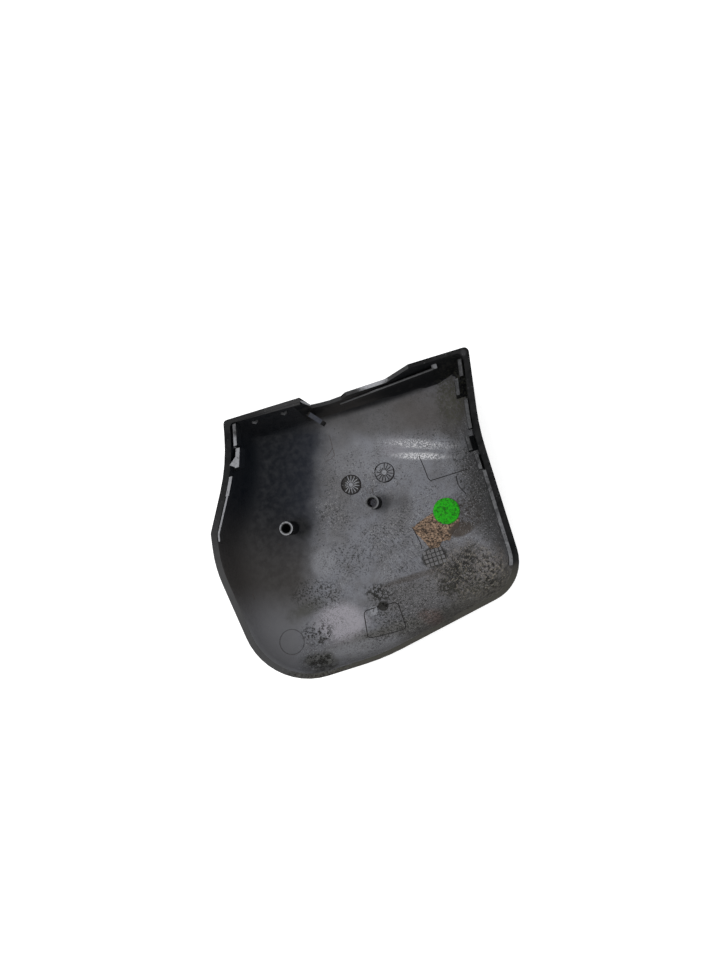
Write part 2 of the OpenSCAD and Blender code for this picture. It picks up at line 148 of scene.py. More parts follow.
class Desk:
    """A node tree, with short calls that add and join its nodes."""

    def __init__(self, tree: NodeTree) -> None:
        """Starts on an empty tree.

        Args:
            tree: The tree that the nodes go into.
        """
        self.tree = tree
        tree.nodes.clear()

    def feed(self, socket: NodeSocket, value: object) -> None:
        """Gives a socket a value, or a link when the value is a socket.

        Args:
            socket: The input to set.
            value: A number, a tuple or the output of another node.
        """
        if isinstance(value, NodeSocket):
            self.tree.links.new(value, socket)
        else:
            socket.default_value = value

    def add(self, kind: str, inputs: dict | None = None, **settings: object) -> Node:
        """Adds a node.

        Args:
            kind: The node's type name.
            inputs: Values or sockets by input name or index.
            **settings: The node's own properties.

        Returns:
            The new node.
        """
        node = self.tree.nodes.new(kind)
        for key, value in settings.items():
            setattr(node, key, value)
        for key, value in (inputs or {}).items():
            self.feed(node.inputs[key], value)
        return node

    def group(self, tree: NodeTree, inputs: dict) -> NodeSocket:
        """The only output of a shader node group."""
        return self.add("ShaderNodeGroup", inputs, node_tree=tree).outputs[0]

    def math(
        self, operation: str, a: object, b: object = 0.0, clamp: bool = False
    ) -> NodeSocket:
        """A Math node's result for one or two values."""
        node = self.add("ShaderNodeMath", {0: a, 1: b}, operation=operation, use_clamp=clamp)
        return node.outputs[0]

    def blend(self, factor: object, a: object, b: object, mode: str = "MIX") -> NodeSocket:
        """Two colours mixed by a factor."""
        node = self.add(
            "ShaderNodeMix", {0: factor, 6: a, 7: b}, data_type="RGBA", blend_type=mode
        )
        return node.outputs[2]

    def ramp(
        self, value: object, low: object, high: object, start: float = 0.0, end: float = 1.0
    ) -> NodeSocket:
        """A value taken smoothly from one range to another."""
        node = self.add(
            "ShaderNodeMapRange",
            {0: value, 1: low, 2: high, 3: start, 4: end},
            interpolation_type="SMOOTHSTEP",
        )
        return node.outputs[0]

    def noise(
        self, vector: object, scale: object, detail: float = 3.0, roughness: float = 0.55
    ) -> NodeSocket:
        """A noise value between 0 and 1 at a scale per metre."""
        node = self.add(
            "ShaderNodeTexNoise",
            {"Vector": vector, "Scale": scale, "Detail": detail, "Roughness": roughness},
        )
        return node.outputs[0]


def group_tree(
    name: str, inputs: dict[str, object], outputs: dict[str, str]
) -> tuple[Desk, dict, dict]:
    """A shader node group with named inputs and outputs.

    Args:
        name: The group's name.
        inputs: Default values by input name. A tuple of three makes a vector.
        outputs: Socket types by output name.

    Returns:
        The desk, the group's inputs by name, and its output sockets by name.
    """
    tree = bpy.data.node_groups.new(name, "ShaderNodeTree")
    for key, value in inputs.items():
        kind = "NodeSocketVector" if isinstance(value, tuple) else "NodeSocketFloat"
        socket = tree.interface.new_socket(key, in_out="INPUT", socket_type=kind)
        socket.default_value = value
    for key, kind in outputs.items():
        tree.interface.new_socket(key, in_out="OUTPUT", socket_type=kind)
    desk = Desk(tree)
    start = desk.add("NodeGroupInput")
    end = desk.add("NodeGroupOutput")
    return desk, start.outputs, end.inputs


class Effects:
    """Node groups that more than one finish uses, each built once."""

    def __init__(self) -> None:
        """Builds the groups."""
        self.patch = self._patch()
        self.specks = self._specks()
        self.moulded_grain = self._moulded_grain()
        self.crumble = self._crumble()

    def _patch(self) -> NodeTree:
        """Mask of a soft, ragged oval patch."""
        desk, given, out = group_tree(
            "soft_patch",
            {
                "Vector": (0.0, 0.0, 0.0),
                "Centre": (0.0, 0.0, 0.0),
                "Radii": (0.01, 0.01, 1.0),
                "Turn": 0.0,
                "Edge": 0.3,
                "Ragged": 0.3,
                "Scale": 120.0,
            },
            {"Mask": "NodeSocketFloat"},
        )
        offset = desk.add(
            "ShaderNodeVectorMath", {0: given["Vector"], 1: given["Centre"]}, operation="SUBTRACT"
        )
        turned = desk.add(
            "ShaderNodeVectorRotate",
            {"Vector": offset.outputs[0], "Angle": given["Turn"]},
            rotation_type="Z_AXIS",
        )
        scaled = desk.add(
            "ShaderNodeVectorMath", {0: turned.outputs[0], 1: given["Radii"]}, operation="DIVIDE"
        )
        flat = desk.add(
            "ShaderNodeVectorMath", {0: scaled.outputs[0], 1: (1.0, 1.0, 0.0)}, operation="MULTIPLY"
        )
        length = desk.add("ShaderNodeVectorMath", {0: flat.outputs[0]}, operation="LENGTH")
        wobble = desk.noise(given["Vector"], given["Scale"], 5.0, 0.62)
        ragged = desk.math("MULTIPLY", desk.math("SUBTRACT", wobble, 0.5), given["Ragged"])
        reach = desk.math("ADD", length.outputs["Value"], desk.math("MULTIPLY", ragged, 2.0))
        low = desk.math("SUBTRACT", 1.0, given["Edge"])
        high = desk.math("ADD", 1.0, given["Edge"])
        desk.feed(out["Mask"], desk.ramp(reach, low, high, 1.0, 0.0))
        return desk.tree

    def _specks(self) -> NodeTree:
        """Mask of scattered specks of uneven size."""
        desk, given, out = group_tree(
            "specks",
            {"Vector": (0.0, 0.0, 0.0), "Scale": 900.0, "Size": 0.25, "Share": 0.3},
            {"Mask": "NodeSocketFloat"},
        )
        cells = desk.add("ShaderNodeTexVoronoi", {"Vector": given["Vector"], "Scale": given["Scale"]})
        pick = desk.add("ShaderNodeSeparateColor", {0: cells.outputs["Color"]})
        chosen = desk.math("LESS_THAN", pick.outputs[0], given["Share"])
        size = desk.math("MULTIPLY", desk.math("ADD", pick.outputs[1], 0.35), given["Size"])
        inside = desk.add(
            "ShaderNodeMapRange",
            {0: cells.outputs["Distance"], 1: desk.math("MULTIPLY", size, 0.6), 2: size, 3: 1.0, 4: 0.0},
        )
        desk.feed(out["Mask"], desk.math("MULTIPLY", inside.outputs[0], chosen, clamp=True))
        return desk.tree

    def _crumble(self) -> NodeTree:
        """Mask of irregular crumbs and gaps: noise, cut at a level."""
        desk, given, out = group_tree(
            "crumble",
            {"Vector": (0.0, 0.0, 0.0), "Scale": 800.0, "Level": 0.5, "Soft": 0.03},
            {"Mask": "NodeSocketFloat"},
        )
        field = desk.noise(given["Vector"], given["Scale"], 4.0, 0.7)
        low = desk.math("SUBTRACT", given["Level"], given["Soft"])
        high = desk.math("ADD", given["Level"], given["Soft"])
        desk.feed(out["Mask"], desk.ramp(field, low, high))
        return desk.tree

    def _moulded_grain(self) -> NodeTree:
        """Height of the fine spark-eroded grain of a moulded face."""
        desk, given, out = group_tree(
            "moulded_grain",
            {"Vector": (0.0, 0.0, 0.0), "Scale": 1500.0, "Coarse": 0.35},
            {"Height": "NodeSocketFloat"},
        )
        fine = desk.noise(given["Vector"], given["Scale"], 2.0, 0.7)
        slow = desk.noise(given["Vector"], desk.math("MULTIPLY", given["Scale"], 0.12), 3.0, 0.5)
        waves = desk.math("MULTIPLY", slow, given["Coarse"])
        desk.feed(out["Height"], desk.math("ADD", fine, waves))
        return desk.tree


@dataclass(frozen=True)
class Patch:
    """A stain, worn place or drift of dust.

    Attributes:
        centre: Its middle, in millimetres.
        radii: Its half length and half width, in millimetres.
        tone: Its colour.
        strength: How strongly its colour covers.
        turn: Turn of its length from the cover's X, in degrees.
        edge: Softness of its edge, as a share of its radii.
        ragged: How far noise pushes its edge about.
        scale: Fineness of that noise, per metre.
        crumbs: Fineness of the crumbs it is broken into, per metre, or 0 for none.
        level: Level at which the crumbs are cut out of their noise.
        crumb_edge: Softness of the crumbs.
    """

    centre: Place
    radii: tuple[float, float]
    tone: Tone
    strength: float
    turn: float = -16.9
    edge: float = 0.45
    ragged: float = 0.3
    scale: float = 120.0
    crumbs: float = 0.0
    level: float = 0.5
    crumb_edge: float = 0.02


GLUE_PLACE = Patch((59.5, -22.6), (8.5, 4.8), Tone.OLD_GLUE, 0.95, turn=2.0, edge=0.2, ragged=0.25)


@dataclass(frozen=True)
class Grit:
    """A layer of fine irregular grains.

    Attributes:
        scale: Fineness of the grains, per metre.
        level: Level at which they are cut out of their noise.
        strength: How strongly their colour covers.
        tone: Their colour.
        cluster: Fineness of the clusters that they gather in, per metre, or 0 for none.
    """

    scale: float
    level: float
    strength: float
    tone: Tone = Tone.GRIT
    cluster: float = 0.0


@dataclass(frozen=True)
class Specks:
    """A layer of scattered round specks.

    Attributes:
        scale: Fineness of the cells that hold a speck each, per metre.
        size: Size of the specks, as a share of their cells.
        share: Share of the cells that hold one.
        tone: Their colour.
        strength: How strongly their colour covers.
    """

    scale: float
    size: float
    share: float
    tone: Tone
    strength: float


@dataclass(frozen=True)
class Finish:
    """A finish: its name and the settings of its shader that are the same all over.

    Attributes:
        name: The material's name.
        roughness: Roughness of the surface.
        specular: Strength of its plain reflection.
    """

    name: str
    roughness: float = 0.6
    specular: float = 0.4

    def start(self) -> tuple[Desk, Material, Node, NodeSocket]:
        """Makes the material with its shader.

        Returns:
            The desk, the material, the shader and the object coordinates.
        """
        material = bpy.data.materials.new(self.name)
        material.use_nodes = True
        desk = Desk(material.node_tree)
        coords = desk.add("ShaderNodeTexCoord").outputs["Object"]
        shader = desk.add("ShaderNodeBsdfPrincipled")
        shader.inputs["Roughness"].default_value = self.roughness
        shader.inputs["Specular IOR Level"].default_value = self.specular
        output = desk.add("ShaderNodeOutputMaterial")
        desk.feed(output.inputs["Surface"], shader.outputs[0])
        return desk, material, shader, coords

    @staticmethod
    def patch_mask(
        desk: Desk, effects: Effects, coords: NodeSocket, patch: Patch
    ) -> NodeSocket:
        """How much of a patch shows at each point, from 0 to its strength.

        Args:
            desk: The material's tree.
            effects: The shared node groups.
            coords: Object coordinates.
            patch: The patch.

        Returns:
            The mask.
        """
        mask = desk.group(
            effects.patch,
            {
                "Vector": coords,
                "Centre": (patch.centre[0] * MM, patch.centre[1] * MM, 0.0),
                "Radii": (patch.radii[0] * MM, patch.radii[1] * MM, 1.0),
                "Turn": -math.radians(patch.turn),
                "Edge": patch.edge,
                "Ragged": patch.ragged,
                "Scale": patch.scale,
            },
        )
        share = desk.math("MULTIPLY", mask, patch.strength)
        if not patch.crumbs:
            return share
        grains = desk.group(
            effects.crumble,
            {"Vector": coords, "Scale": patch.crumbs, "Level": patch.level, "Soft": patch.crumb_edge},
        )
        return desk.math("MULTIPLY", share, grains)

    @classmethod
    def patched(
        cls,
        desk: Desk,
        effects: Effects,
        coords: NodeSocket,
        colour: NodeSocket,
        patches: tuple[Patch, ...],
    ) -> NodeSocket:
        """Lays patches over a colour, each over the one before.

        Args:
            desk: The material's tree.
            effects: The shared node groups.
            coords: Object coordinates.
            colour: The colour under the patches.
            patches: The patches.

        Returns:
            The colour with the patches on it.
        """
        for patch in patches:
            mask = cls.patch_mask(desk, effects, coords, patch)
            colour = desk.blend(mask, colour, patch.tone.rgba)
        return colour

    @staticmethod
    def grains(
        desk: Desk, effects: Effects, coords: NodeSocket, grit: Grit, soft: float
    ) -> NodeSocket:
        """Mask of a layer of grit, without its clusters or strength.

        Args:
            desk: The material's tree.
            effects: The shared node groups.
            coords: Object coordinates.
            grit: The layer.
            soft: Softness of the grains.

        Returns:
            The mask.
        """
        return desk.group(
            effects.crumble,
            {"Vector": coords, "Scale": grit.scale, "Level": grit.level, "Soft": soft},
        )

    @classmethod
    def gritted(
        cls,
        desk: Desk,
        effects: Effects,
        coords: NodeSocket,
        colour: NodeSocket,
        grit: Grit,
        soft: float,
    ) -> NodeSocket:
        """Lays grit evenly over a colour.

        Args:
            desk: The material's tree.
            effects: The shared node groups.
            coords: Object coordinates.
            colour: The colour under the grit.
            grit: The layer of grit.
            soft: Softness of the grains.

        Returns:
            The gritty colour.
        """
        mask = cls.grains(desk, effects, coords, grit, soft)
        return desk.blend(desk.math("MULTIPLY", mask, grit.strength), colour, grit.tone.rgba)

    @staticmethod
    def speckled(
        desk: Desk,
        effects: Effects,
        coords: NodeSocket,
        colour: NodeSocket,
        specks: Specks,
    ) -> NodeSocket:
        """Lays scattered specks over a colour.

        Args:
            desk: The material's tree.
            effects: The shared node groups.
            coords: Object coordinates.
            colour: The colour under the specks.
            specks: The layer of specks.

        Returns:
            The speckled colour.
        """
        mask = desk.group(
            effects.specks,
            {"Vector": coords, "Scale": specks.scale, "Size": specks.size, "Share": specks.share},
        )
        return desk.blend(desk.math("MULTIPLY", mask, specks.strength), colour, specks.tone.rgba)

    @staticmethod
    def grain_bump(
        desk: Desk,
        effects: Effects,
        coords: NodeSocket,
        scale: float,
        coarse: float,
        depth_mm: float,
    ) -> NodeSocket:
        """Normal of a finely grained surface.

        Args:
            desk: The material's tree.
            effects: The shared node groups.
            coords: Object coordinates.
            scale: Fineness of the grain, per metre.
            coarse: Share of slow waves under the grain.
            depth_mm: Depth of the grain, in millimetres.

        Returns:
            The normal.
        """
        grain = desk.group(effects.moulded_grain, {"Vector": coords, "Scale": scale, "Coarse": coarse})
        bump = desk.add(
            "ShaderNodeBump", {"Height": grain, "Strength": 0.4, "Distance": depth_mm * MM}
        )
        return bump.outputs[0]


@dataclass(frozen=True)
class InnerFinish(Finish):
    """Bare inner face: black plastic under dust, grime and specks, with painted shade, sheen and
    highlights.

    Attributes:
        patches: Stains, worn places, drifts, painted shadows and painted highlights, laid one over the
            other.
        border: Where the dust begins across the cover, past the painted shade on the left, and half its
            soft width.
        turn_deg: Turn of that border.
        specks: Round specks under the patches.
        grit: Irregular grains over them.
        lint_end: Where up the cover the light lint thins out, and where it ends.
        grit_end: Where up the cover the grit begins to thin out, and where it has.
        thin_grit: Share of the grit that is left beyond that.
    """

    patches: tuple[Patch, ...] = ()
    border: tuple[float, float] = (-36.0, 10.0)
    turn_deg: float = -21.5
    specks: tuple[Specks, ...] = (
        Specks(640.0, 0.34, 0.26, Tone.GRIT, 0.8),
        Specks(900.0, 0.28, 0.12, Tone.PALE_DUST, 0.6),
    )
    grit: tuple[Grit, ...] = (
        Grit(800.0, 0.57, 0.75, Tone.GRIT, 34.0),
        Grit(1250.0, 0.56, 0.6, Tone.GRIT, 52.0),
        Grit(1150.0, 0.60, 0.35, Tone.LINT, 41.0),
    )
    lint_end: tuple[float, float] = (40.0, 55.0)
    grit_end: tuple[float, float] = (44.0, 60.0)
    thin_grit: float = 0.35

    def build(self, effects: Effects) -> Material:
        """Makes the material.

        Args:
            effects: The shared node groups.

        Returns:
            The material of the inner face.
        """
        desk, material, shader, coords = self.start()
        colour, dust_and_light = self._dusted(desk, coords)
        colour = self._specked(desk, effects, coords, colour, dust_and_light)
        colour = self.patched(desk, effects, coords, colour, self.patches)
        colour = self._gritty(desk, effects, coords, colour, dust_and_light)
        gloss = desk.ramp(desk.noise(coords, 260.0, 4.0), 0.3, 0.7, 0.5, 0.8)
        desk.feed(shader.inputs["Base Color"], colour)
        desk.feed(shader.inputs["Roughness"], gloss)
        desk.feed(shader.inputs["Normal"], self.grain_bump(desk, effects, coords, 1300.0, 0.8, 0.13))
        return material

    def _dusted(
        self, desk: Desk, coords: NodeSocket
    ) -> tuple[NodeSocket, NodeSocket]:
        """Black plastic on the left, partly painted shade of the left wall with a painted bluish sheen,
        dust on the right, with a soft straight border.

        Args:
            desk: The material's tree.
            coords: Object coordinates.

        Returns:
            The colour, and the share of dust and light.
        """
        turned = desk.add(
            "ShaderNodeVectorRotate",
            {"Vector": coords, "Angle": -math.radians(self.turn_deg)},
            rotation_type="Z_AXIS",
        )
        parts = desk.add("ShaderNodeSeparateXYZ", {0: turned.outputs[0]})
        across, along = parts.outputs[0], parts.outputs[1]
        drift = desk.math("MULTIPLY", desk.math("SUBTRACT", desk.noise(coords, 70.0, 4.0), 0.5), 0.012)
        place = desk.math("ADD", across, drift)
        middle, width = self.border[0] * MM, self.border[1] * MM
        # Dust on the right; on the left, black plastic darkened as the painted shade of the left wall.
        dust_and_light = desk.ramp(place, middle - width, middle + width)
        near = desk.ramp(across, -0.086, middle)
        # A painted bluish sheen on the black, stronger towards the border.
        left = desk.blend(
            desk.math("MULTIPLY", near, 0.55), Tone.CLEAN_PLASTIC_IN_SHADE.rgba, Tone.BLUE_SHEEN.rgba
        )
        # Lower down the black turns brown, then grey: the painted shade thins where the left wall is
        # lower.
        left = desk.blend(desk.ramp(along, 0.016, -0.056), left, Tone.WALL_BROWN.rgba)
        left = desk.blend(desk.ramp(along, -0.046, -0.080), left, Tone.DULL_PLASTIC.rgba)
        mottle = desk.ramp(desk.noise(coords, 110.0, 6.0, 0.62), 0.36, 0.66)
        dust = desk.blend(desk.math("MULTIPLY", mottle, 0.5), Tone.DUST.rgba, Tone.THIN_DUST.rgba)
        pale = desk.ramp(desk.noise(coords, 95.0, 5.0, 0.6), 0.52, 0.68)
        dust = desk.blend(desk.math("MULTIPLY", pale, 0.4), dust, Tone.PALE_DUST.rgba)
        return desk.blend(dust_and_light, left, dust), dust_and_light

    def _specked(
        self,
        desk: Desk,
        effects: Effects,
        coords: NodeSocket,
        colour: NodeSocket,
        dust_and_light: NodeSocket,
    ) -> NodeSocket:
        """Lays light and dark specks over a colour, most of them where dust lies.

        Args:
            desk: The material's tree.
            effects: The shared node groups.
            coords: Object coordinates.
            colour: The colour under the specks.
            dust_and_light: The share of dust and light, low under the painted shade on the left.

        Returns:
            The speckled colour.
        """
        thick = desk.ramp(dust_and_light, 0.0, 1.0, 0.02, 1.0)
        for layer in self.specks:
            mask = desk.group(
                effects.specks,
                {"Vector": coords, "Scale": layer.scale, "Size": layer.size, "Share": layer.share},
            )
            cluster = desk.ramp(desk.noise(coords, layer.scale * 0.11, 3.0), 0.42, 0.62)
            amount = desk.math("MULTIPLY", desk.math("MULTIPLY", mask, cluster), layer.strength)
            colour = desk.blend(desk.math("MULTIPLY", amount, thick), colour, layer.tone.rgba)
        return colour

    def _gritty(
        self,
        desk: Desk,
        effects: Effects,
        coords: NodeSocket,
        colour: NodeSocket,
        dust_and_light: NodeSocket,
    ) -> NodeSocket:
        """Breaks a colour up with fine clustered grit, dark for the most part.

        Args:
            desk: The material's tree.
            effects: The shared node groups.
            coords: Object coordinates.
            colour: The colour under the grit.
            dust_and_light: The share of dust and light, low under the painted shade on the left.

        Returns:
            The gritty colour.
        """
        row = desk.add("ShaderNodeSeparateXYZ", {0: coords}).outputs[1]
        low = desk.ramp(row, self.lint_end[1] * MM, self.lint_end[0] * MM)
        thinned = desk.ramp(row, self.grit_end[1] * MM, self.grit_end[0] * MM, self.thin_grit, 1.0)
        thick = desk.math("MULTIPLY", desk.ramp(dust_and_light, 0.0, 1.0, 0.03, 1.0), thinned)
        for layer in self.grit:
            grains = self.grains(desk, effects, coords, layer, 0.03)
            cluster = desk.ramp(desk.noise(coords, layer.cluster, 4.0, 0.6), 0.4, 0.62, 0.12, 1.0)
            if layer.tone is Tone.LINT:
                cluster = desk.math("MULTIPLY", cluster, low)
            share = desk.math("MULTIPLY", desk.math("MULTIPLY", grains, cluster), layer.strength)
            colour = desk.blend(desk.math("MULTIPLY", share, thick), colour, layer.tone.rgba)
        return colour


@dataclass(frozen=True)
class RimFinish(Finish):
    """Flat land of the rim: black at the top and upper right, greyer low on the left.

    Attributes:
        patches: Scuffed and dirty stretches of the rim.
        specks: Light specks on it.
    """

    patches: tuple[Patch, ...] = ()
    specks: Specks = Specks(700.0, 0.34, 0.16, Tone.WORN_AND_LIT_GREY, 0.3)

    def build(self, effects: Effects) -> Material:
        """Makes the material of the rim's land.

        Args:
            effects: The shared node groups.

        Returns:
            The material.
        """
        desk, material, shader, coords = self.start()
        streak = desk.ramp(desk.noise(coords, 240.0, 5.0, 0.6), 0.36, 0.66)
        colour = desk.blend(
            desk.math("MULTIPLY", streak, 0.3), Tone.RIM_BLACK.rgba, Tone.RIM_GREY.rgba
        )
        colour = self.patched(desk, effects, coords, colour, self.patches)
        colour = self.speckled(desk, effects, coords, colour, self.specks)
        gloss = desk.ramp(desk.noise(coords, 200.0, 4.0), 0.3, 0.7, 0.5, 0.75)
        desk.feed(shader.inputs["Base Color"], colour)
        desk.feed(shader.inputs["Roughness"], gloss)
        desk.feed(shader.inputs["Normal"], self.grain_bump(desk, effects, coords, 1100.0, 0.5, 0.1))
        return material


@dataclass(frozen=True)
class WornAndLitEdgeFinish(Finish):
    """Light edges, worn and painted as lit from above: tongues, tabs, notch face and boss rings.

    Attributes:
        light: Tone where the edge is rubbed bare and painted as lit.
        dark: Tone of the dirt left on it.
        dirt: Share of the edge that stays dirty.
        patches: Stretches that are rubbed and painted brighter as highlights, or are dirtier and in
            painted shade.
        grit: Grains of dirt on it.
    """

    light: Tone = Tone.WORN_AND_LIT_GREY
    dark: Tone = Tone.DARK_DIRT_AND_SHADE
    dirt: float = 0.5
    patches: tuple[Patch, ...] = ()
    grit: Grit = Grit(620.0, 0.6, 0.7)

    def build(self, effects: Effects) -> Material:
        """Makes the material of the worn edges.

        Args:
            effects: The shared node groups.

        Returns:
            The material.
        """
        desk, material, shader, coords = self.start()
        blot = desk.ramp(desk.noise(coords, 210.0, 5.0, 0.62), self.dirt - 0.1, self.dirt + 0.1)
        colour = desk.blend(blot, self.dark.rgba, self.light.rgba)
        colour = self.patched(desk, effects, coords, colour, self.patches)
        colour = self.gritted(desk, effects, coords, colour, self.grit, 0.04)
        desk.feed(shader.inputs["Base Color"], colour)
        desk.feed(shader.inputs["Normal"], self.grain_bump(desk, effects, coords, 900.0, 0.6, 0.1))
        return material


@dataclass(frozen=True)
class ShadedBlackFinish(Finish):
    """Near-black walls, grooves and pockets: clean black plastic painted darker as shade, with a little
    dirt in them.

    Attributes:
        patches: Stretches where the black gives way to another tone.
        crumbs: Crumbs of dirt caught on the walls.
    """

    patches: tuple[Patch, ...] = ()
    crumbs: Grit = Grit(560.0, 0.66, 0.35, Tone.WARM_DUST)

    def build(self, effects: Effects) -> Material:
        """Makes the material of the sheltered walls.

        Args:
            effects: The shared node groups.

        Returns:
            The material.
        """
        desk, material, shader, coords = self.start()
        dirt = desk.ramp(desk.noise(coords, 130.0, 5.0, 0.62), 0.5, 0.72)
        colour = desk.blend(
            desk.math("MULTIPLY", dirt, 0.22), Tone.SHADED_BLACK.rgba, Tone.WALL_BROWN.rgba
        )
        colour = self.patched(desk, effects, coords, colour, self.patches)
        colour = self.gritted(desk, effects, coords, colour, self.crumbs, 0.03)
        desk.feed(shader.inputs["Base Color"], colour)
        desk.feed(shader.inputs["Normal"], self.grain_bump(desk, effects, coords, 1200.0, 0.5, 0.1))
        return material


@dataclass(frozen=True)
class OuterFinish(Finish):
    """Grained black outer face with light rubbed places.

    Attributes:
        specks: Specks of dust on it.
    """

    specks: Specks = Specks(800.0, 0.2, 0.08, Tone.DUST, 0.4)

    def build(self, effects: Effects) -> Material:
        """Makes the material of the outer face.

        Args:
            effects: The shared node groups.

        Returns:
            The material.
        """
        desk, material, shader, coords = self.start()
        rubbed = desk.ramp(desk.noise(coords, 45.0, 6.0, 0.6), 0.52, 0.75)
        colour = desk.blend(
            desk.math("MULTIPLY", rubbed, 0.3), Tone.OUTER_BLACK.rgba, Tone.OUTER_RUBBED.rgba
        )
        colour = self.speckled(desk, effects, coords, colour, self.specks)
        gloss = desk.ramp(desk.noise(coords, 90.0, 5.0), 0.3, 0.7, 0.38, 0.55)
        desk.feed(shader.inputs["Base Color"], colour)
        desk.feed(shader.inputs["Roughness"], gloss)
        desk.feed(shader.inputs["Normal"], self.grain_bump(desk, effects, coords, 1100.0, 0.3, 0.22))
        return material


@dataclass(frozen=True)
class PlainFinish(Finish):
    """One tone broken up by a second, for marks, fibres and crumbs.

    Attributes:
        tone: The main tone.
        second: The tone in its mottles.
        share: How strongly the second tone covers.
        scale: Fineness of the mottles, per metre.
    """

    tone: Tone = Tone.DULL_PLASTIC
    second: Tone = Tone.WARM_DUST
    share: float = 0.4
    scale: float = 600.0

    def build(self, effects: Effects) -> Material:
        """Makes the material.

        Args:
            effects: The shared node groups.

        Returns:
            The material.
        """
        desk, material, shader, coords = self.start()
        mottle = desk.ramp(desk.noise(coords, self.scale, 4.0), 0.35, 0.68)
        colour = desk.blend(desk.math("MULTIPLY", mottle, self.share), self.tone.rgba, self.second.rgba)
        desk.feed(shader.inputs["Base Color"], colour)
        desk.feed(shader.inputs["Normal"], self.grain_bump(desk, effects, coords, 1500.0, 0.35, 0.08))
        return material


@dataclass(frozen=True)
class DotFinish(Finish):
    """Green paper dot, speckled with dirt and worn pale round its edge.

    Attributes:
        centre: Middle of the dot, in millimetres.
        radius: Its radius.
        worn_edge: Width of the pale edge, and of the strip where it is palest.
        grit: Grains of dirt on the paper.
    """

    centre: Place = (0.0, 0.0)
    radius: float = 9.0
    worn_edge: tuple[float, float] = (1.2, 0.2)
    grit: tuple[Grit, ...] = (
        Grit(760.0, 0.565, 0.9, Tone.GREEN_DIRT),
        Grit(1300.0, 0.56, 0.8, Tone.GREEN_DIRT),
        Grit(300.0, 0.66, 0.5, Tone.GREEN_DIRT),
    )

    def build(self, effects: Effects) -> Material:
        """Makes the material of the paper dot.

        Args:
            effects: The shared node groups.

        Returns:
            The material.
        """
        desk, material, shader, coords = self.start()
        moved = desk.add(
            "ShaderNodeMapping",
            {"Vector": coords, "Location": (-self.centre[0] * MM, -self.centre[1] * MM, 0.0)},
        )
        flat = desk.add(
            "ShaderNodeVectorMath", {0: moved.outputs[0], 1: (1.0, 1.0, 0.0)}, operation="MULTIPLY"
        )
        length = desk.add("ShaderNodeVectorMath", {0: flat.outputs[0]}, operation="LENGTH")
        begin, full = ((self.radius - width) * MM for width in self.worn_edge)
        edge = desk.ramp(length.outputs["Value"], begin, full)
        uneven = desk.ramp(desk.noise(coords, 520.0, 4.0), 0.35, 0.65)
        colour = desk.blend(
            desk.math("MULTIPLY", uneven, 0.3), Tone.GREEN_PAPER.rgba, Tone.PALE_GREEN.rgba
        )
        colour = desk.blend(desk.math("MULTIPLY", edge, 0.35), colour, Tone.PALE_GREEN.rgba)
        for layer in self.grit:
            colour = self.gritted(desk, effects, coords, colour, layer, 0.04)
        desk.feed(shader.inputs["Base Color"], colour)
        desk.feed(shader.inputs["Normal"], self.grain_bump(desk, effects, coords, 1600.0, 0.5, 0.1))
        return material


@dataclass(frozen=True)
class TornPaperFinish(Finish):
    """Brown fibres and old glue of a label that was torn off.

    Attributes:
        glue: The dark place where only glue is left.
        grit: Grains of glue and dirt between the fibres.
    """

    glue: Patch = GLUE_PLACE
    grit: tuple[Grit, ...] = (
        Grit(560.0, 0.545, 0.92, Tone.GLUE_BROWN),
        Grit(950.0, 0.55, 0.75, Tone.GLUE_BROWN),
    )

    def build(self, effects: Effects) -> Material:
        """Makes the material of the label residue.

        Args:
            effects: The shared node groups.

        Returns:
            The material.
        """
        desk, material, shader, coords = self.start()
        stretched = desk.add(
            "ShaderNodeMapping",
            {"Vector": coords, "Rotation": (0.0, 0.0, 0.35), "Scale": (1.0, 1.8, 1.0)},
        )
        fibres = desk.ramp(desk.noise(stretched.outputs[0], 640.0, 6.0, 0.68), 0.4, 0.6)
        colour = desk.blend(fibres, Tone.PAPER_BROWN.rgba, Tone.PAPER_TAN.rgba)
        blot = desk.ramp(desk.noise(coords, 190.0, 5.0, 0.6), 0.48, 0.64)
        colour = desk.blend(desk.math("MULTIPLY", blot, 0.3), colour, Tone.PAPER_BROWN.rgba)
        for layer in self.grit:
            colour = self.gritted(desk, effects, coords, colour, layer, 0.035)
        colour = self.patched(desk, effects, coords, colour, (self.glue,))
        desk.feed(shader.inputs["Base Color"], colour)
        bump = desk.add("ShaderNodeBump", {"Height": fibres, "Strength": 0.6, "Distance": 0.0002})
        desk.feed(shader.inputs["Normal"], bump.outputs[0])
        return material


def new_object(name: str, data: bpy.types.ID) -> Object:
    """Makes an object and puts it in the scene.

    Args:
        name: Its name.
        data: Its mesh, lamp or camera.

    Returns:
        The object.
    """
    made = bpy.data.objects.new(name, data)
    bpy.context.scene.collection.objects.link(made)
    return made


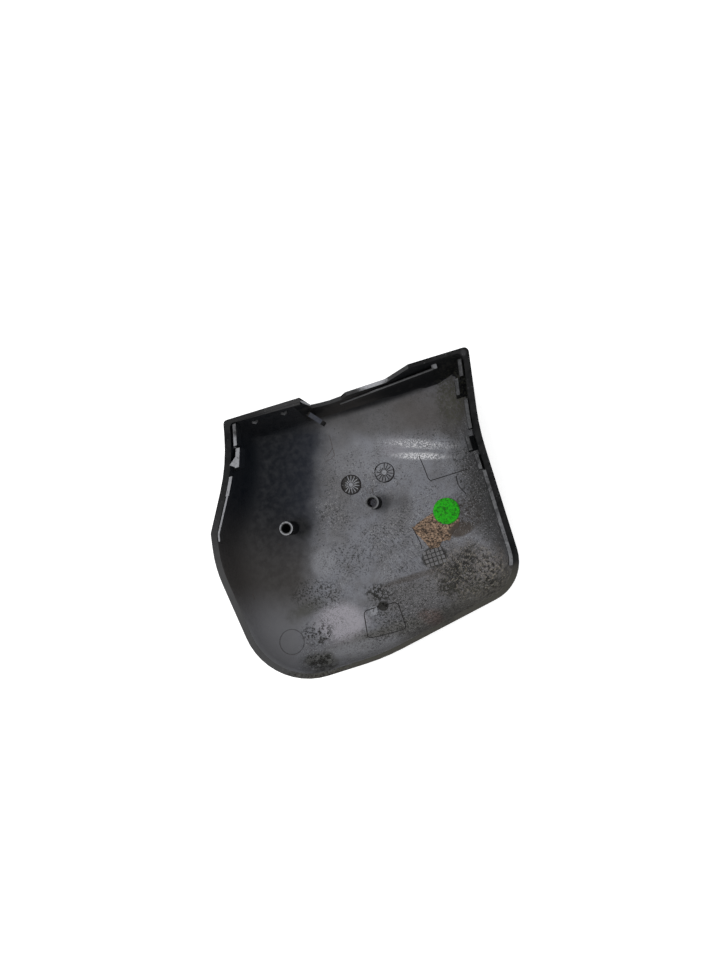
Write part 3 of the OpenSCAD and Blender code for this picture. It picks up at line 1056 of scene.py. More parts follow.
@dataclass(frozen=True)
class PhotoView:
    """Camera worked out from the two screw bosses, which stand upright.

    Attributes:
        centre_px: Middle of the photograph.
        height_px: Its height, in pixels.
        focal_px: Focal length, in pixels.
        nadir_px: The pixel straight below the camera, where both bosses point.
        turn_deg: Turn of the cover's X from the picture's level.
        place: Place of the lens, in millimetres.
        sensor_mm: Height of the sensor.
        clip: Nearest and farthest distance seen, in metres.
    """

    centre_px: Pixel = (361.0, 481.5)
    height_px: float = 963.0
    focal_px: float = 724.0
    nadir_px: Pixel = (460.0, 518.0)
    turn_deg: float = 16.9
    place: tuple[float, float, float] = (61.345, -15.228, 500.0)
    sensor_mm: float = 36.0
    clip: tuple[float, float] = (0.01, 10.0)

    def _raw_ray(self, pixel: Pixel) -> Vector:
        """Direction of a pixel in the camera's own axes."""
        return Vector(
            (
                (pixel[0] - self.centre_px[0]) / self.focal_px,
                -(pixel[1] - self.centre_px[1]) / self.focal_px,
                -1.0,
            )
        )

    def axes(self) -> Matrix:
        """The camera's axes as the columns of a matrix."""
        level = self._raw_ray(self.nadir_px).rotation_difference(DOWN).to_matrix()
        return Matrix.Rotation(-math.radians(self.turn_deg), 3, "Z") @ level

    def origin(self) -> Vector:
        """The camera's place in metres."""
        return Vector(self.place) * MM

    def ray(self, pixel: Pixel) -> Vector:
        """Direction of a pixel in the part's frame."""
        return (self.axes() @ self._raw_ray(pixel)).normalized()

    def add_camera(self) -> Object:
        """Makes the camera the scene's own.

        Returns:
            The camera.
        """
        data = bpy.data.cameras.new("photo_camera")
        data.sensor_width = self.sensor_mm
        data.lens = self.sensor_mm * self.focal_px / self.height_px
        data.clip_start, data.clip_end = self.clip
        camera = new_object("photo_camera", data)
        camera.matrix_world = Matrix.Translation(self.origin()) @ self.axes().to_4x4()
        bpy.context.scene.camera = camera
        return camera


class Seat:
    """The solid that marks and papers lie on, found by rays."""

    def __init__(self, solid: Object, view: PhotoView) -> None:
        """Reads the solid.

        Args:
            solid: The cover's node.
            view: The camera that pixels are counted in.
        """
        mesh = bmesh.new()
        mesh.from_mesh(solid.data)
        self.tree = BVHTree.FromBMesh(mesh)
        mesh.free()
        self.view = view

    def seen(self, pixel: Pixel) -> Vector:
        """Point of the cover that a pixel shows.

        Args:
            pixel: Column and row in the photograph.

        Returns:
            The point, in metres.
        """
        place, _, _, _ = self.tree.ray_cast(self.view.origin(), self.view.ray(pixel))
        if place is None:
            raise ValueError(f"no part of the cover at pixel {pixel}")
        return place

    def under(self, x: float, y: float) -> tuple[Vector, Vector]:
        """Finds the cover straight under a place.

        Args:
            x: The place along X, in metres.
            y: The place along Y, in metres.

        Returns:
            The point, in metres, and the normal there.
        """
        place, normal, _, _ = self.tree.ray_cast(Vector((x, y, OVER_ALL)), DOWN)
        if place is None:
            raise ValueError(f"nothing under {x:.4f}, {y:.4f}")
        return place, normal

    def path(self, pixels: list[Pixel], step: float, lift: float) -> list[Vector]:
        """Line of points that follows the cover between pixels.

        Args:
            pixels: Corners of the line in the photograph.
            step: Distance between points, in millimetres.
            lift: Height over the surface, in millimetres.

        Returns:
            The points, in metres.
        """
        corners = [self.seen(p) for p in pixels]
        points = []
        for a, b in zip(corners, corners[1:]):
            count = max(2, round((b - a).length / (step * MM)))
            points += [a.lerp(b, k / count) for k in range(count)]
        points.append(corners[-1])
        seated = []
        for point in points:
            place, normal = self.under(point.x, point.y)
            seated.append(place + normal * lift * MM)
        return seated


def geometry_tree(name: str, inputs: dict[str, tuple[str, object]]) -> tuple[Desk, dict, dict]:
    """A geometry node tree with one geometry in and out, and named inputs.

    Args:
        name: The tree's name.
        inputs: Socket type and default value by input name.

    Returns:
        The desk, the tree's inputs by name, and its output sockets by name.
    """
    tree = bpy.data.node_groups.new(name, "GeometryNodeTree")
    tree.interface.new_socket("Geometry", in_out="INPUT", socket_type="NodeSocketGeometry")
    for key, (kind, value) in inputs.items():
        socket = tree.interface.new_socket(key, in_out="INPUT", socket_type=kind)
        if value is not None:
            socket.default_value = value
    tree.interface.new_socket("Geometry", in_out="OUTPUT", socket_type="NodeSocketGeometry")
    desk = Desk(tree)
    return desk, desk.add("NodeGroupInput").outputs, desk.add("NodeGroupOutput").inputs


def close_tree(
    desk: Desk, geometry: NodeSocket, material: NodeSocket, out: dict
) -> NodeTree:
    """Ends a tree in Realize Instances and Set Material.

    Args:
        desk: The tree's desk.
        geometry: What the tree has made.
        material: Its finish.
        out: The tree's outputs by name.

    Returns:
        The tree.
    """
    real = desk.add("GeometryNodeRealizeInstances", {0: geometry})
    dressed = desk.add("GeometryNodeSetMaterial", {"Geometry": real.outputs[0], "Material": material})
    desk.feed(out["Geometry"], dressed.outputs[0])
    return desk.tree


class Patterns:
    """Geometry node trees for what repeats or follows a path.

    Attributes:
        crumb_tilt: Greatest turn of a crumb about each axis, in radians.
        crumb_flatness: Width and height of a crumb as a share of its length.
    """

    crumb_tilt = (0.4, 0.4, 6.283)
    crumb_flatness = 0.55

    def __init__(self) -> None:
        """Builds the trees."""
        self.moulded_line = self._moulded_line()
        self.spokes = self._spokes()
        self.studs = self._studs()
        self.squares = self._squares()
        self.crumbs = self._crumbs()

    def _moulded_line(self) -> NodeTree:
        """A low rounded line that follows the edges it is given."""
        desk, given, out = geometry_tree(
            "moulded_line",
            {"Width": ("NodeSocketFloat", 0.0004), "Material": ("NodeSocketMaterial", None)},
        )
        curve = desk.add("GeometryNodeMeshToCurve", {0: given["Geometry"]})
        radius = desk.math("MULTIPLY", given["Width"], 0.5)
        profile = desk.add("GeometryNodeCurvePrimitiveCircle", {"Resolution": 6, "Radius": radius})
        tube = desk.add(
            "GeometryNodeCurveToMesh",
            {"Curve": curve.outputs[0], "Profile Curve": profile.outputs[0], "Fill Caps": True},
        )
        return close_tree(desk, tube.outputs[0], given["Material"], out)

    def _spokes(self) -> NodeTree:
        """Bars that stand in a ring round the origin."""
        desk, given, out = geometry_tree(
            "dial_spokes",
            {
                "Count": ("NodeSocketInt", 16),
                "Radius": ("NodeSocketFloat", 0.004),
                "Length": ("NodeSocketFloat", 0.003),
                "Width": ("NodeSocketFloat", 0.0004),
                "Height": ("NodeSocketFloat", 0.0003),
                "Material": ("NodeSocketMaterial", None),
            },
        )
        ring = desk.add(
            "GeometryNodeMeshCircle", {"Vertices": given["Count"], "Radius": given["Radius"]}
        )
        size = desk.add(
            "ShaderNodeCombineXYZ", {0: given["Length"], 1: given["Width"], 2: given["Height"]}
        )
        bar = desk.add("GeometryNodeMeshCube", {"Size": size.outputs[0]})
        place = desk.add("GeometryNodeInputPosition")
        turn = desk.add("FunctionNodeAlignRotationToVector", {"Vector": place.outputs[0]}, axis="X")
        bars = desk.add(
            "GeometryNodeInstanceOnPoints",
            {"Points": ring.outputs[0], "Instance": bar.outputs[0], "Rotation": turn.outputs[0]},
        )
        return close_tree(desk, bars.outputs[0], given["Material"], out)

    def _studs(self) -> NodeTree:
        """A low round stud on each point given."""
        desk, given, out = geometry_tree(
            "round_studs",
            {
                "Radius": ("NodeSocketFloat", 0.0015),
                "Height": ("NodeSocketFloat", 0.0004),
                "Material": ("NodeSocketMaterial", None),
            },
        )
        stud = desk.add(
            "GeometryNodeMeshCylinder",
            {"Vertices": 24, "Radius": given["Radius"], "Depth": given["Height"]},
        )
        studs = desk.add(
            "GeometryNodeInstanceOnPoints", {"Points": given["Geometry"], "Instance": stud.outputs[0]}
        )
        return close_tree(desk, studs.outputs[0], given["Material"], out)

    def _squares(self) -> NodeTree:
        """Rows of small raised squares."""
        desk, given, out = geometry_tree(
            "small_squares",
            {
                "Columns": ("NodeSocketInt", 5),
                "Rows": ("NodeSocketInt", 4),
                "Pitch": ("NodeSocketFloat", 0.003),
                "Side": ("NodeSocketFloat", 0.0022),
                "Height": ("NodeSocketFloat", 0.0002),
                "Material": ("NodeSocketMaterial", None),
            },
        )
        width = desk.math("MULTIPLY", given["Pitch"], desk.math("SUBTRACT", given["Columns"], 1.0))
        depth = desk.math("MULTIPLY", given["Pitch"], desk.math("SUBTRACT", given["Rows"], 1.0))
        grid = desk.add(
            "GeometryNodeMeshGrid",
            {
                "Size X": width,
                "Size Y": depth,
                "Vertices X": given["Columns"],
                "Vertices Y": given["Rows"],
            },
        )
        size = desk.add(
            "ShaderNodeCombineXYZ", {0: given["Side"], 1: given["Side"], 2: given["Height"]}
        )
        cell = desk.add("GeometryNodeMeshCube", {"Size": size.outputs[0]})
        cells = desk.add(
            "GeometryNodeInstanceOnPoints", {"Points": grid.outputs[0], "Instance": cell.outputs[0]}
        )
        return close_tree(desk, cells.outputs[0], given["Material"], out)

    def _crumbs(self) -> NodeTree:
        """Flattened grains scattered over faces, thicker where the dirt attribute is high."""
        desk, given, out = geometry_tree(
            "dirt_crumbs",
            {
                "Density": ("NodeSocketFloat", 60000.0),
                "Seed": ("NodeSocketInt", 7),
                "Smallest": ("NodeSocketFloat", 0.35),
                "Largest": ("NodeSocketFloat", 1.0),
                "Grain": ("NodeSocketFloat", 0.0004),
                "Material": ("NodeSocketMaterial", None),
            },
        )
        dirt = desk.add("GeometryNodeInputNamedAttribute", {"Name": "dirt"}, data_type="FLOAT")
        amount = desk.math("MULTIPLY", dirt.outputs[0], given["Density"])
        points = desk.add(
            "GeometryNodeDistributePointsOnFaces",
            {"Mesh": given["Geometry"], "Density": amount, "Seed": given["Seed"]},
        )
        grain = desk.add("GeometryNodeMeshIcoSphere", {"Radius": given["Grain"], "Subdivisions": 1})
        size = desk.add(
            "FunctionNodeRandomValue",
            {2: given["Smallest"], 3: given["Largest"], "Seed": given["Seed"]},
            data_type="FLOAT",
        )
        flat = desk.math("MULTIPLY", size.outputs[1], self.crumb_flatness)
        scale = desk.add("ShaderNodeCombineXYZ", {0: size.outputs[1], 1: flat, 2: flat})
        spin = desk.add(
            "FunctionNodeRandomValue",
            {0: (0.0, 0.0, 0.0), 1: self.crumb_tilt, "Seed": given["Seed"]},
            data_type="FLOAT_VECTOR",
        )
        grains = desk.add(
            "GeometryNodeInstanceOnPoints",
            {
                "Points": points.outputs[0],
                "Instance": grain.outputs[0],
                "Rotation": spin.outputs[0],
                "Scale": scale.outputs[0],
            },
        )
        return close_tree(desk, grains.outputs[0], given["Material"], out)


def run_pattern(
    name: str, base: Mesh, tree: NodeTree, settings: dict[str, object]
) -> Object:
    """Runs a geometry node tree on a mesh and keeps the plain result.

    Args:
        name: The new object's name.
        base: The mesh that the tree works on.
        tree: The tree.
        settings: Input values by name.

    Returns:
        An object whose mesh is the result.
    """
    holder = new_object(name + "_base", base)
    modifier = holder.modifiers.new(name, "NODES")
    modifier.node_group = tree
    for item in tree.interface.items_tree:
        if item.in_out == "INPUT" and item.name in settings:
            modifier[item.identifier] = settings[item.name]
    holder.update_tag()
    bpy.context.view_layer.update()
    seen = holder.evaluated_get(bpy.context.evaluated_depsgraph_get())
    mesh = bpy.data.meshes.new_from_object(seen)
    holder.modifiers.clear()
    bpy.data.objects.remove(holder)
    mesh.name = name
    return new_object(name, mesh)


def line_mesh(name: str, lines: list[list[Vector]]) -> Mesh:
    """Edges through lists of points.

    Args:
        name: The mesh's name.
        lines: The points of each line, in metres.

    Returns:
        The mesh.
    """
    points, edges = [], []
    for line in lines:
        first = len(points)
        points += [tuple(p) for p in line]
        edges += [(first + k, first + k + 1) for k in range(len(line) - 1)]
    mesh = bpy.data.meshes.new(name)
    mesh.from_pydata(points, edges, [])
    return mesh


def point_mesh(name: str) -> Mesh:
    """One point, for trees that bring their own shapes."""
    return line_mesh(name, [[Vector()]])


def settle(obj: Object) -> Object:
    """Lets a piece ride on the cover and logs its count of faces.

    Args:
        obj: The piece.

    Returns:
        The same piece.
    """
    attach(obj, BODY)
    LOG.info("%s: %d faces", obj.name, len(obj.data.polygons))
    return obj


def seat_vertices(obj: Object, seat: Seat, centre: Vector) -> None:
    """Moves a flat pattern made round the origin to a place on the curved face.

    Args:
        obj: The pattern. Its Z is the height over the face.
        seat: The face.
        centre: The place of the pattern's middle, in metres.
    """
    for vertex in obj.data.vertices:
        place, normal = seat.under(centre.x + vertex.co.x, centre.y + vertex.co.y)
        vertex.co = place + normal * vertex.co.z


class Zone(Enum):
    """Parts of the cover with a finish of their own, by material index."""

    INNER = 0
    OUTER = 1
    RIM = 2
    # Tops of tongues, tabs and the blade: worn, and painted light as lit.
    WORN_AND_LIT_EDGE = 3
    # Walls, pockets and holes painted near-black as shade.
    SHADED_BLACK = 4
    # Ring tops of the bosses, worn and painted light as lit.
    BOSS_RING = 5


@dataclass
class CoverShell:
    """The moulded cover, with the finish of each of its zones.

    Attributes:
        finishes: The finish of each zone.
        boss_reach: Radius round a screw boss within which its walls lie.
        merge: Distance within which corners are joined.
        smooth_deg: Greatest angle across which two faces are shaded as one.
        skin_deg: Greatest angle between two faces of the outer skin.
        flat_deg: Greatest angle between two faces of one flat.
        flat_rise: Least upward share of a flat's normal.
        large_flat: Least area of the floor and of the rim's land, in square millimetres.
        ring_area: Areas of the bosses' ring faces, in square millimetres.
        groove_area: Greatest area of a dial's engraved groove, in square millimetres.
        floor_top: Height under which a flat belongs to the floor.
        bowl_top: Height under which a flat belongs to the bowl's inside.
        worn_and_lit_drop: How far under the rim's land a worn edge, painted as lit, may lie.
        flush_drop: How far under the land a strip of the top flange may lie.
        top_wall: Where the top wall begins across the cover.
        blade: Middle of the blade's plate.
        blade_reach: Distance from it within which a flat is the blade's.
        bore_radius: Radius within which a boss's wall is its bore's.
        top_box: Least X, Y and Z of the walls of the notch that are painted as shade.
        right_box: Least X, Y and Z of the right pockets that are painted as shade.
    """

    finishes: dict[Zone, Material]
    boss_reach: float = 5.2
    merge: float = 0.004
    smooth_deg: float = 30.0
    skin_deg: float = 42.0
    flat_deg: float = 25.0
    flat_rise: float = 0.75
    large_flat: float = 1000.0
    ring_area: tuple[float, float] = (33.0, 35.0)
    groove_area: float = 27.0
    floor_top: float = 5.0
    bowl_top: float = 30.0
    worn_and_lit_drop: float = 2.6
    flush_drop: float = 1.2
    top_wall: float = 79.0
    blade: Place = (-9.2, 73.9)
    blade_reach: float = 6.0
    bore_radius: float = 3.4
    top_box: tuple[float, float, float] = (-18.0, 66.0, 13.0)
    right_box: tuple[float, float, float] = (78.0, -52.0, 27.0)

    def build(self, solid: Object) -> Object:
        """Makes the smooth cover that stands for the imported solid.

        Args:
            solid: The cover's node.

        Returns:
            The cover.
        """
        mesh = bmesh.new()
        mesh.from_mesh(solid.data)
        bmesh.ops.remove_doubles(mesh, verts=mesh.verts, dist=self.merge * MM)
        mesh.normal_update()
        zones = self._zones(mesh)
        for face in mesh.faces:
            face.smooth = True
            face.material_index = zones[face].value
        limit = math.radians(self.smooth_deg)
        for edge in mesh.edges:
            edge.smooth = len(edge.link_faces) == 2 and edge.calc_face_angle(0.0) < limit
        data = bpy.data.meshes.new("moulded_cover")
        mesh.to_mesh(data)
        mesh.free()
        for zone in Zone:
            data.materials.append(self.finishes[zone])
        cover = new_object("moulded_cover", data)
        settle(cover)
        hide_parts(COVER_NODE)
        return cover

    def _zones(self, mesh: BMesh) -> dict[BMFace, Zone]:
        """Sorts the faces into zones.

        Args:
            mesh: The merged cover.

        Returns:
            The zone of each face.
        """
        lowest = min(mesh.faces, key=lambda face: face.calc_center_median().z)
        skin = self._spread(lowest, self.skin_deg, lambda face: True)
        zones = {face: Zone.OUTER for face in skin}
        flats = []
        seen = set(skin)
        for face in mesh.faces:
            if face in seen or face.normal.z < self.flat_rise:
                continue
            flat = self._spread(
                face, self.flat_deg, lambda f: f.normal.z >= self.flat_rise and f not in seen
            )
            seen |= flat
            flats.append(flat)
        land = max((f for f in flats if self._height(f) > self.bowl_top), key=self._area)
        corners = {vertex for face in land for vertex in face.verts}
        for flat in flats:
            zone = Zone.RIM if flat is land else self._flat_zone(flat, corners)
            zones.update({face: zone for face in flat})
        for face in mesh.faces:
            if face not in zones:
                zones[face] = Zone.SHADED_BLACK if self._is_shaded_black(face) else Zone.INNER
        return zones

    @staticmethod
    def _spread(
        start: BMFace, limit_deg: float, accept: Callable[[BMFace], bool]
    ) -> set[BMFace]:
        """Faces reached from one without crossing a sharper edge.

        Args:
            start: The first face.
            limit_deg: Greatest angle between neighbours.
            accept: Test that a face has to pass.

        Returns:
            The faces.
        """
        limit = math.radians(limit_deg)
        found = {start}
        waiting = [start]
        while waiting:
            face = waiting.pop()
            for edge in face.edges:
                if len(edge.link_faces) != 2 or edge.calc_face_angle(0.0) > limit:
                    continue
                for other in edge.link_faces:
                    if other not in found and accept(other):
                        found.add(other)
                        waiting.append(other)
        return found

    @staticmethod
    def _area(faces: set[BMFace]) -> float:
        """Area of some faces, in square millimetres."""
        return sum(face.calc_area() for face in faces) / (MM * MM)

    @staticmethod
    def _height(faces: set[BMFace]) -> float:
        """Mean height of some faces, in millimetres."""
        return sum(face.calc_center_median().z for face in faces) / len(faces) / MM

    def _flat_zone(self, flat: set[BMFace], land: set[BMVert]) -> Zone:
        """Zone of a flat that isn't the rim's land.

        Args:
            flat: The flat's faces.
            land: Corners of the rim's land.

        Returns:
            Its zone.
        """
        area, height = self._area(flat), self._height(flat)
        if area > self.large_flat:
            return Zone.INNER
        if height < self.floor_top:
            return Zone.SHADED_BLACK if area < self.groove_area else Zone.INNER
        if height < self.bowl_top:
            is_ring = self.ring_area[0] < area < self.ring_area[1]
            return Zone.BOSS_RING if is_ring else self._hole_zone(flat)
        middle = self._middle(flat)
        near = min(land, key=lambda vertex: (vertex.co.xy - middle.xy).length)
        on_wall = middle.y / MM > self.top_wall
        drop = near.co.z / MM - height
        if on_wall and -self.flush_drop / 2 < drop < self.flush_drop:
            return Zone.RIM
        on_blade = math.dist(middle.xy / MM, self.blade) < self.blade_reach
        # Flats on the top wall, on the blade and near the rim's height get the tone of worn tops painted
        # as lit.
        is_worn_and_lit = on_wall or on_blade or height > near.co.z / MM - self.worn_and_lit_drop
        return Zone.WORN_AND_LIT_EDGE if is_worn_and_lit else Zone.SHADED_BLACK

    @staticmethod
    def _middle(faces: set[BMFace]) -> Vector:
        """Mean of some faces' middles, in metres."""
        return sum((face.calc_center_median() for face in faces), Vector()) / len(faces)

    def _hole_zone(self, flat: set[BMFace]) -> Zone:
        """Zone of a low flat: the left boss's hole is painted dark as shade."""
        is_hole = math.dist(self._middle(flat).xy / MM, LEFT_BOSS) < self.boss_reach
        return Zone.SHADED_BLACK if is_hole else Zone.INNER

    def _is_shaded_black(self, face: BMFace) -> bool:
        """True for a wall of the notch, of the right pockets or of a boss, painted near-black as shade.

        Args:
            face: A face that is no flat.

        Returns:
            Whether it gets the near-black of painted shade.
        """
        middle = face.calc_center_median() / MM
        from_left, from_right = (math.dist(middle.xy, boss) for boss in (LEFT_BOSS, RIGHT_BOSS))
        on_boss = from_left < self.boss_reach or self.bore_radius < from_right < self.boss_reach
        boxes = (self.top_box, self.right_box)
        in_box = any(all(a > b for a, b in zip(middle, least)) for least in boxes)
        return on_boss or in_box


@dataclass
class DateDials:
    """Spokes and hubs in the two engraved dial rings.

    Attributes:
        bars: Finish of the spokes of each dial, left and right.
        hubs: Finish of both hubs.
        spokes: Spokes in a dial.
        hub: Radius of the hub.
        inner: Radius at which the spokes begin.
        outer: Radius at which they end.
        bar: Width of a spoke.
        proud: Height of the spokes over the disc.
    """

    bars: tuple[Material, Material]
    hubs: Material
    spokes: int = 15
    hub: float = 1.5
    inner: float = 1.9
    outer: float = 6.1
    bar: float = 0.55
    proud: float = 0.2

    def build(self, seat: Seat, patterns: Patterns) -> list[Object]:
        """Makes both dials.

        Args:
            seat: The inner face.
            patterns: The geometry node trees.

        Returns:
            The spokes and the hub of each dial.
        """
        made = []
        for number, (pixel, material) in enumerate(zip(DIAL_PIXELS, self.bars), start=1):
            dial = run_pattern(
                f"date_dial_{number}",
                point_mesh("dial_point"),
                patterns.spokes,
                {
                    "Count": self.spokes,
                    "Radius": (self.inner + self.outer) / 2 * MM,
                    "Length": (self.outer - self.inner) * MM,
                    "Width": self.bar * MM,
                    "Height": self.proud * 2 * MM,
                    "Material": material,
                },
            )
            hub = run_pattern(
                f"dial_hub_{number}",
                point_mesh("hub_point"),
                patterns.studs,
                {"Radius": self.hub * MM, "Height": self.proud * 2 * MM, "Material": self.hubs},
            )
            for piece in (dial, hub):
                seat_vertices(piece, seat, seat.seen(pixel))
                made.append(settle(piece))
        return made


@dataclass
class MouldedLines:
    """Low lines on the inner face: panel outlines, a framed field and a faint circle.

    Attributes:
        material: Finish of the lines.
        faint: Finish of the gate mark's circle.
        width: Width of a line.
        sunk: How far the middle of a line lies under the surface.
        step: Distance between the points of a line.
        ring_px: Radius of the rings round the dials, in pixels.
        ring_steps: Points in a ring.
        corner_cut: Share of a side that a rounded corner of the field takes.
    """

    material: Material
    faint: Material
    width: float = 0.8
    sunk: float = 0.18
    step: float = 1.5
    ring_px: float = 9.6
    ring_steps: int = 28
    corner_cut: float = 0.16

    def build(self, seat: Seat, patterns: Patterns) -> list[Object]:
        """Makes the lines.

        Args:
            seat: The inner face.
            patterns: The geometry node trees.

        Returns:
            The pieces.
        """
        groups: dict[str, list[list[Pixel]]] = {
            "panel_outline": [
                [
                    (419.0, 456.0),
                    (424.0, 467.5),
                    (428.2, 478.5),
                    (430.6, 480.6),
                    (447.0, 475.5),
                    (467.0, 469.0),
                ],
                [(456.0, 475.7), (457.8, 483.5), (459.6, 487.2), (466.3, 494.0)],
            ],
            "framed_field": [self._rounded_field()],
            "gate_circle": [self._circle((292.0, 642.0), 12.2, 12.6)],
            "dial_rings": [self._circle(dial, self.ring_px, self.ring_px) for dial in DIAL_PIXELS],
            "panel_tick": [[(440.0, 544.0), (444.5, 555.0)]],
            "label_edge": [[(412.4, 527.3), (417.0, 536.0), (420.3, 542.5), (422.0, 549.0)]],
        }
        made = []
        for name, lines in groups.items():
            paths = [seat.path(line, self.step, -self.sunk) for line in lines]
            piece = run_pattern(
                name,
                line_mesh(name, paths),
                patterns.moulded_line,
                {
                    "Width": self.width * MM,
                    "Material": self.faint if name == "gate_circle" else self.material,
                },
            )
            made.append(settle(piece))
        return made

    def _circle(self, centre: Pixel, radius_x: float, radius_y: float) -> list[Pixel]:
        """A closed ring of pixels.

        Args:
            centre: Its middle.
            radius_x: Its radius across the picture.
            radius_y: Its radius down the picture.

        Returns:
            The ring's points, the first of them again at the end.
        """
        turns = [k * math.tau / self.ring_steps for k in range(self.ring_steps + 1)]
        return [
            (centre[0] + radius_x * math.cos(a), centre[1] + radius_y * math.sin(a)) for a in turns
        ]

    def _rounded_field(self) -> list[Pixel]:
        """The frame's outline with rounded corners, in pixels.

        Returns:
            The outline's points, the first of them again at the end.
        """
        corners = [(363.5, 611.0), (397.5, 601.7), (406.8, 629.0), (368.0, 639.0)]
        ring: list[Pixel] = []
        for k, corner in enumerate(corners):
            before, after = corners[k - 1], corners[(k + 1) % len(corners)]
            start = tuple(c + (b - c) * self.corner_cut for c, b in zip(corner, before))
            end = tuple(c + (a - c) * self.corner_cut for c, a in zip(corner, after))
            for t in (0.0, 0.33, 0.67, 1.0):
                ring.append(
                    tuple(
                        (1 - t) ** 2 * s + 2 * t * (1 - t) * c + t * t * e
                        for s, c, e in zip(start, corner, end)
                    )
                )
        return ring + [ring[0]]


@dataclass
class SquareTable:
    """A small bare table of moulded squares beside the papers.

    Attributes:
        material: Finish of the squares.
        centre_px: Where its middle is seen in the photograph.
        columns: Squares across.
        rows: Squares down.
        pitch: Distance between the squares' middles.
        side: Side of a square.
        proud: Height of the squares over the surface.
        turn_deg: Turn of the table from the cover's X.
    """

    material: Material
    centre_px: Pixel = (434.5, 557.0)
    columns: int = 5
    rows: int = 4
    pitch: float = 2.9
    side: float = 2.1
    proud: float = 0.1
    turn_deg: float = 2.0

    def build(self, seat: Seat, patterns: Patterns) -> Object:
        """Makes the table of squares.

        Args:
            seat: The inner face.
            patterns: The geometry node trees.

        Returns:
            The table.
        """
        table = run_pattern(
            "square_table",
            point_mesh("table_point"),
            patterns.squares,
            {
                "Columns": self.columns,
                "Rows": self.rows,
                "Pitch": self.pitch * MM,
                "Side": self.side * MM,
                "Height": self.proud * 2 * MM,
                "Material": self.material,
            },
        )
        table.data.transform(Matrix.Rotation(math.radians(self.turn_deg), 4, "Z"))
        seat_vertices(table, seat, seat.seen(self.centre_px))
        return settle(table)


@dataclass
class InspectionDot:
    """The round green paper, lying on the curved inner face.

    Attributes:
        material: Its finish.
        rings: Rings of faces from its middle to its edge.
        segments: Faces in a ring.
        lift: Gap between the surface and the paper.
        thickness: Thickness of the paper.
        wrinkle: Height of its wrinkles.
        wrinkle_scale: Fineness of the wrinkles, per metre.
    """

    material: Material
    rings: int = 12
    segments: int = 72
    lift: float = 0.1
    thickness: float = 0.2
    wrinkle: float = 0.06
    wrinkle_scale: float = 260.0

    def build(self, seat: Seat) -> Object:
        """Makes the paper dot that stands for its flat solid.

        Args:
            seat: The inner face.

        Returns:
            The dot.
        """
        low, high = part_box(DOT_NODE)
        middle, radius = (low + high) / 2, (high.x - low.x) / 2
        mesh = bmesh.new()

        def vertex(x: float, y: float) -> BMVert:
            """Makes a corner of the paper.

            Args:
                x: Its place along X from the dot's middle, in metres.
                y: The same along Y.

            Returns:
                The corner.
            """
            place, _ = seat.under(middle.x + x, middle.y + y)
            ripple = noise.noise(Vector((x, y, 0.0)) * self.wrinkle_scale) * self.wrinkle
            return mesh.verts.new(place + UP * (self.lift + self.thickness + ripple) * MM)

        centre = vertex(0.0, 0.0)
        rows = []
        for ring in range(1, self.rings + 1):
            reach = radius * ring / self.rings
            rows.append(
                [
                    vertex(reach * math.cos(a), reach * math.sin(a))
                    for a in (k * math.tau / self.segments for k in range(self.segments))
                ]
            )
        for k in range(self.segments):
            after = (k + 1) % self.segments
            mesh.faces.new((centre, rows[0][k], rows[0][after]))
            for inner, outer in zip(rows, rows[1:]):
                mesh.faces.new((inner[k], outer[k], outer[after], inner[after]))
        return finish_paper(
            mesh, "green_dot", self.material, self.thickness, DOT_NODE
        )


@dataclass
class LabelResidue:
    """What is left of a torn label: a thin ragged skin on the inner face.

    Attributes:
        material: Its finish.
        cell: Side of the squares that the skin is made of.
        ragged: How far noise pushes its torn edge about.
        ragged_scale: Fineness of that noise, per metre.
        lift: Gap between the surface and the paper.
        thickness: Thickness of the paper.
        rough: Height of the roughness on it.
        rough_scale: Fineness of the roughness, per metre.
        seed: Seed of the noise.
    """

    material: Material
    cell: float = 0.5
    ragged: float = 0.9
    ragged_scale: float = 330.0
    lift: float = 0.05
    thickness: float = 0.16
    rough: float = 0.05
    rough_scale: float = 500.0
    seed: int = 7

    def build(self, solid: Object, seat: Seat) -> Object:
        """Makes the torn paper that stands for its flat solid.

        Args:
            solid: The residue's node.
            seat: The inner face.

        Returns:
            The residue.
        """
        noise.seed_set(self.seed)
        source = bmesh.new()
        source.from_mesh(solid.data)
        outline = BVHTree.FromBMesh(source)
        source.free()
        low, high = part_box(RESIDUE_NODE)
        size = self.cell * MM
        columns = math.ceil((high.x - low.x) / size)
        rows = math.ceil((high.y - low.y) / size)
        mesh = bmesh.new()
        corners: dict[tuple[int, int], BMVert] = {}

        def corner(i: int, j: int) -> BMVert:
            """The skin's corner in a column and row, made once."""
            if (i, j) not in corners:
                x, y = low.x + i * size, low.y + j * size
                place, _ = seat.under(x, y)
                rough = noise.noise(Vector((x, y, 0.3)) * self.rough_scale) * self.rough
                corners[i, j] = mesh.verts.new(place + UP * (self.lift + self.thickness + rough) * MM)
            return corners[i, j]

        for i in range(columns):
            for j in range(rows):
                x, y = low.x + (i + 0.5) * size, low.y + (j + 0.5) * size
                if self._is_paper(outline, x, y):
                    near = corner(i, j), corner(i + 1, j)
                    mesh.faces.new((*near, corner(i + 1, j + 1), corner(i, j + 1)))
        return finish_paper(
            mesh, "torn_label", self.material, self.thickness, RESIDUE_NODE
        )

    def _is_paper(self, outline: BVHTree, x: float, y: float) -> bool:
        """Judges a place by itself and by a point that noise pushes about.

        Args:
            outline: The residue's solid.
            x: The place along X, in metres.
            y: The place along Y, in metres.

        Returns:
            Whether paper is left there.
        """
        push = noise.noise_vector(Vector((x, y, 0.0)) * self.ragged_scale) * self.ragged * MM
        hit = outline.ray_cast(Vector((x + push.x, y + push.y, OVER_ALL)), DOWN)[0]
        inside = outline.ray_cast(Vector((x, y, OVER_ALL)), DOWN)[0]
        return hit is not None and inside is not None


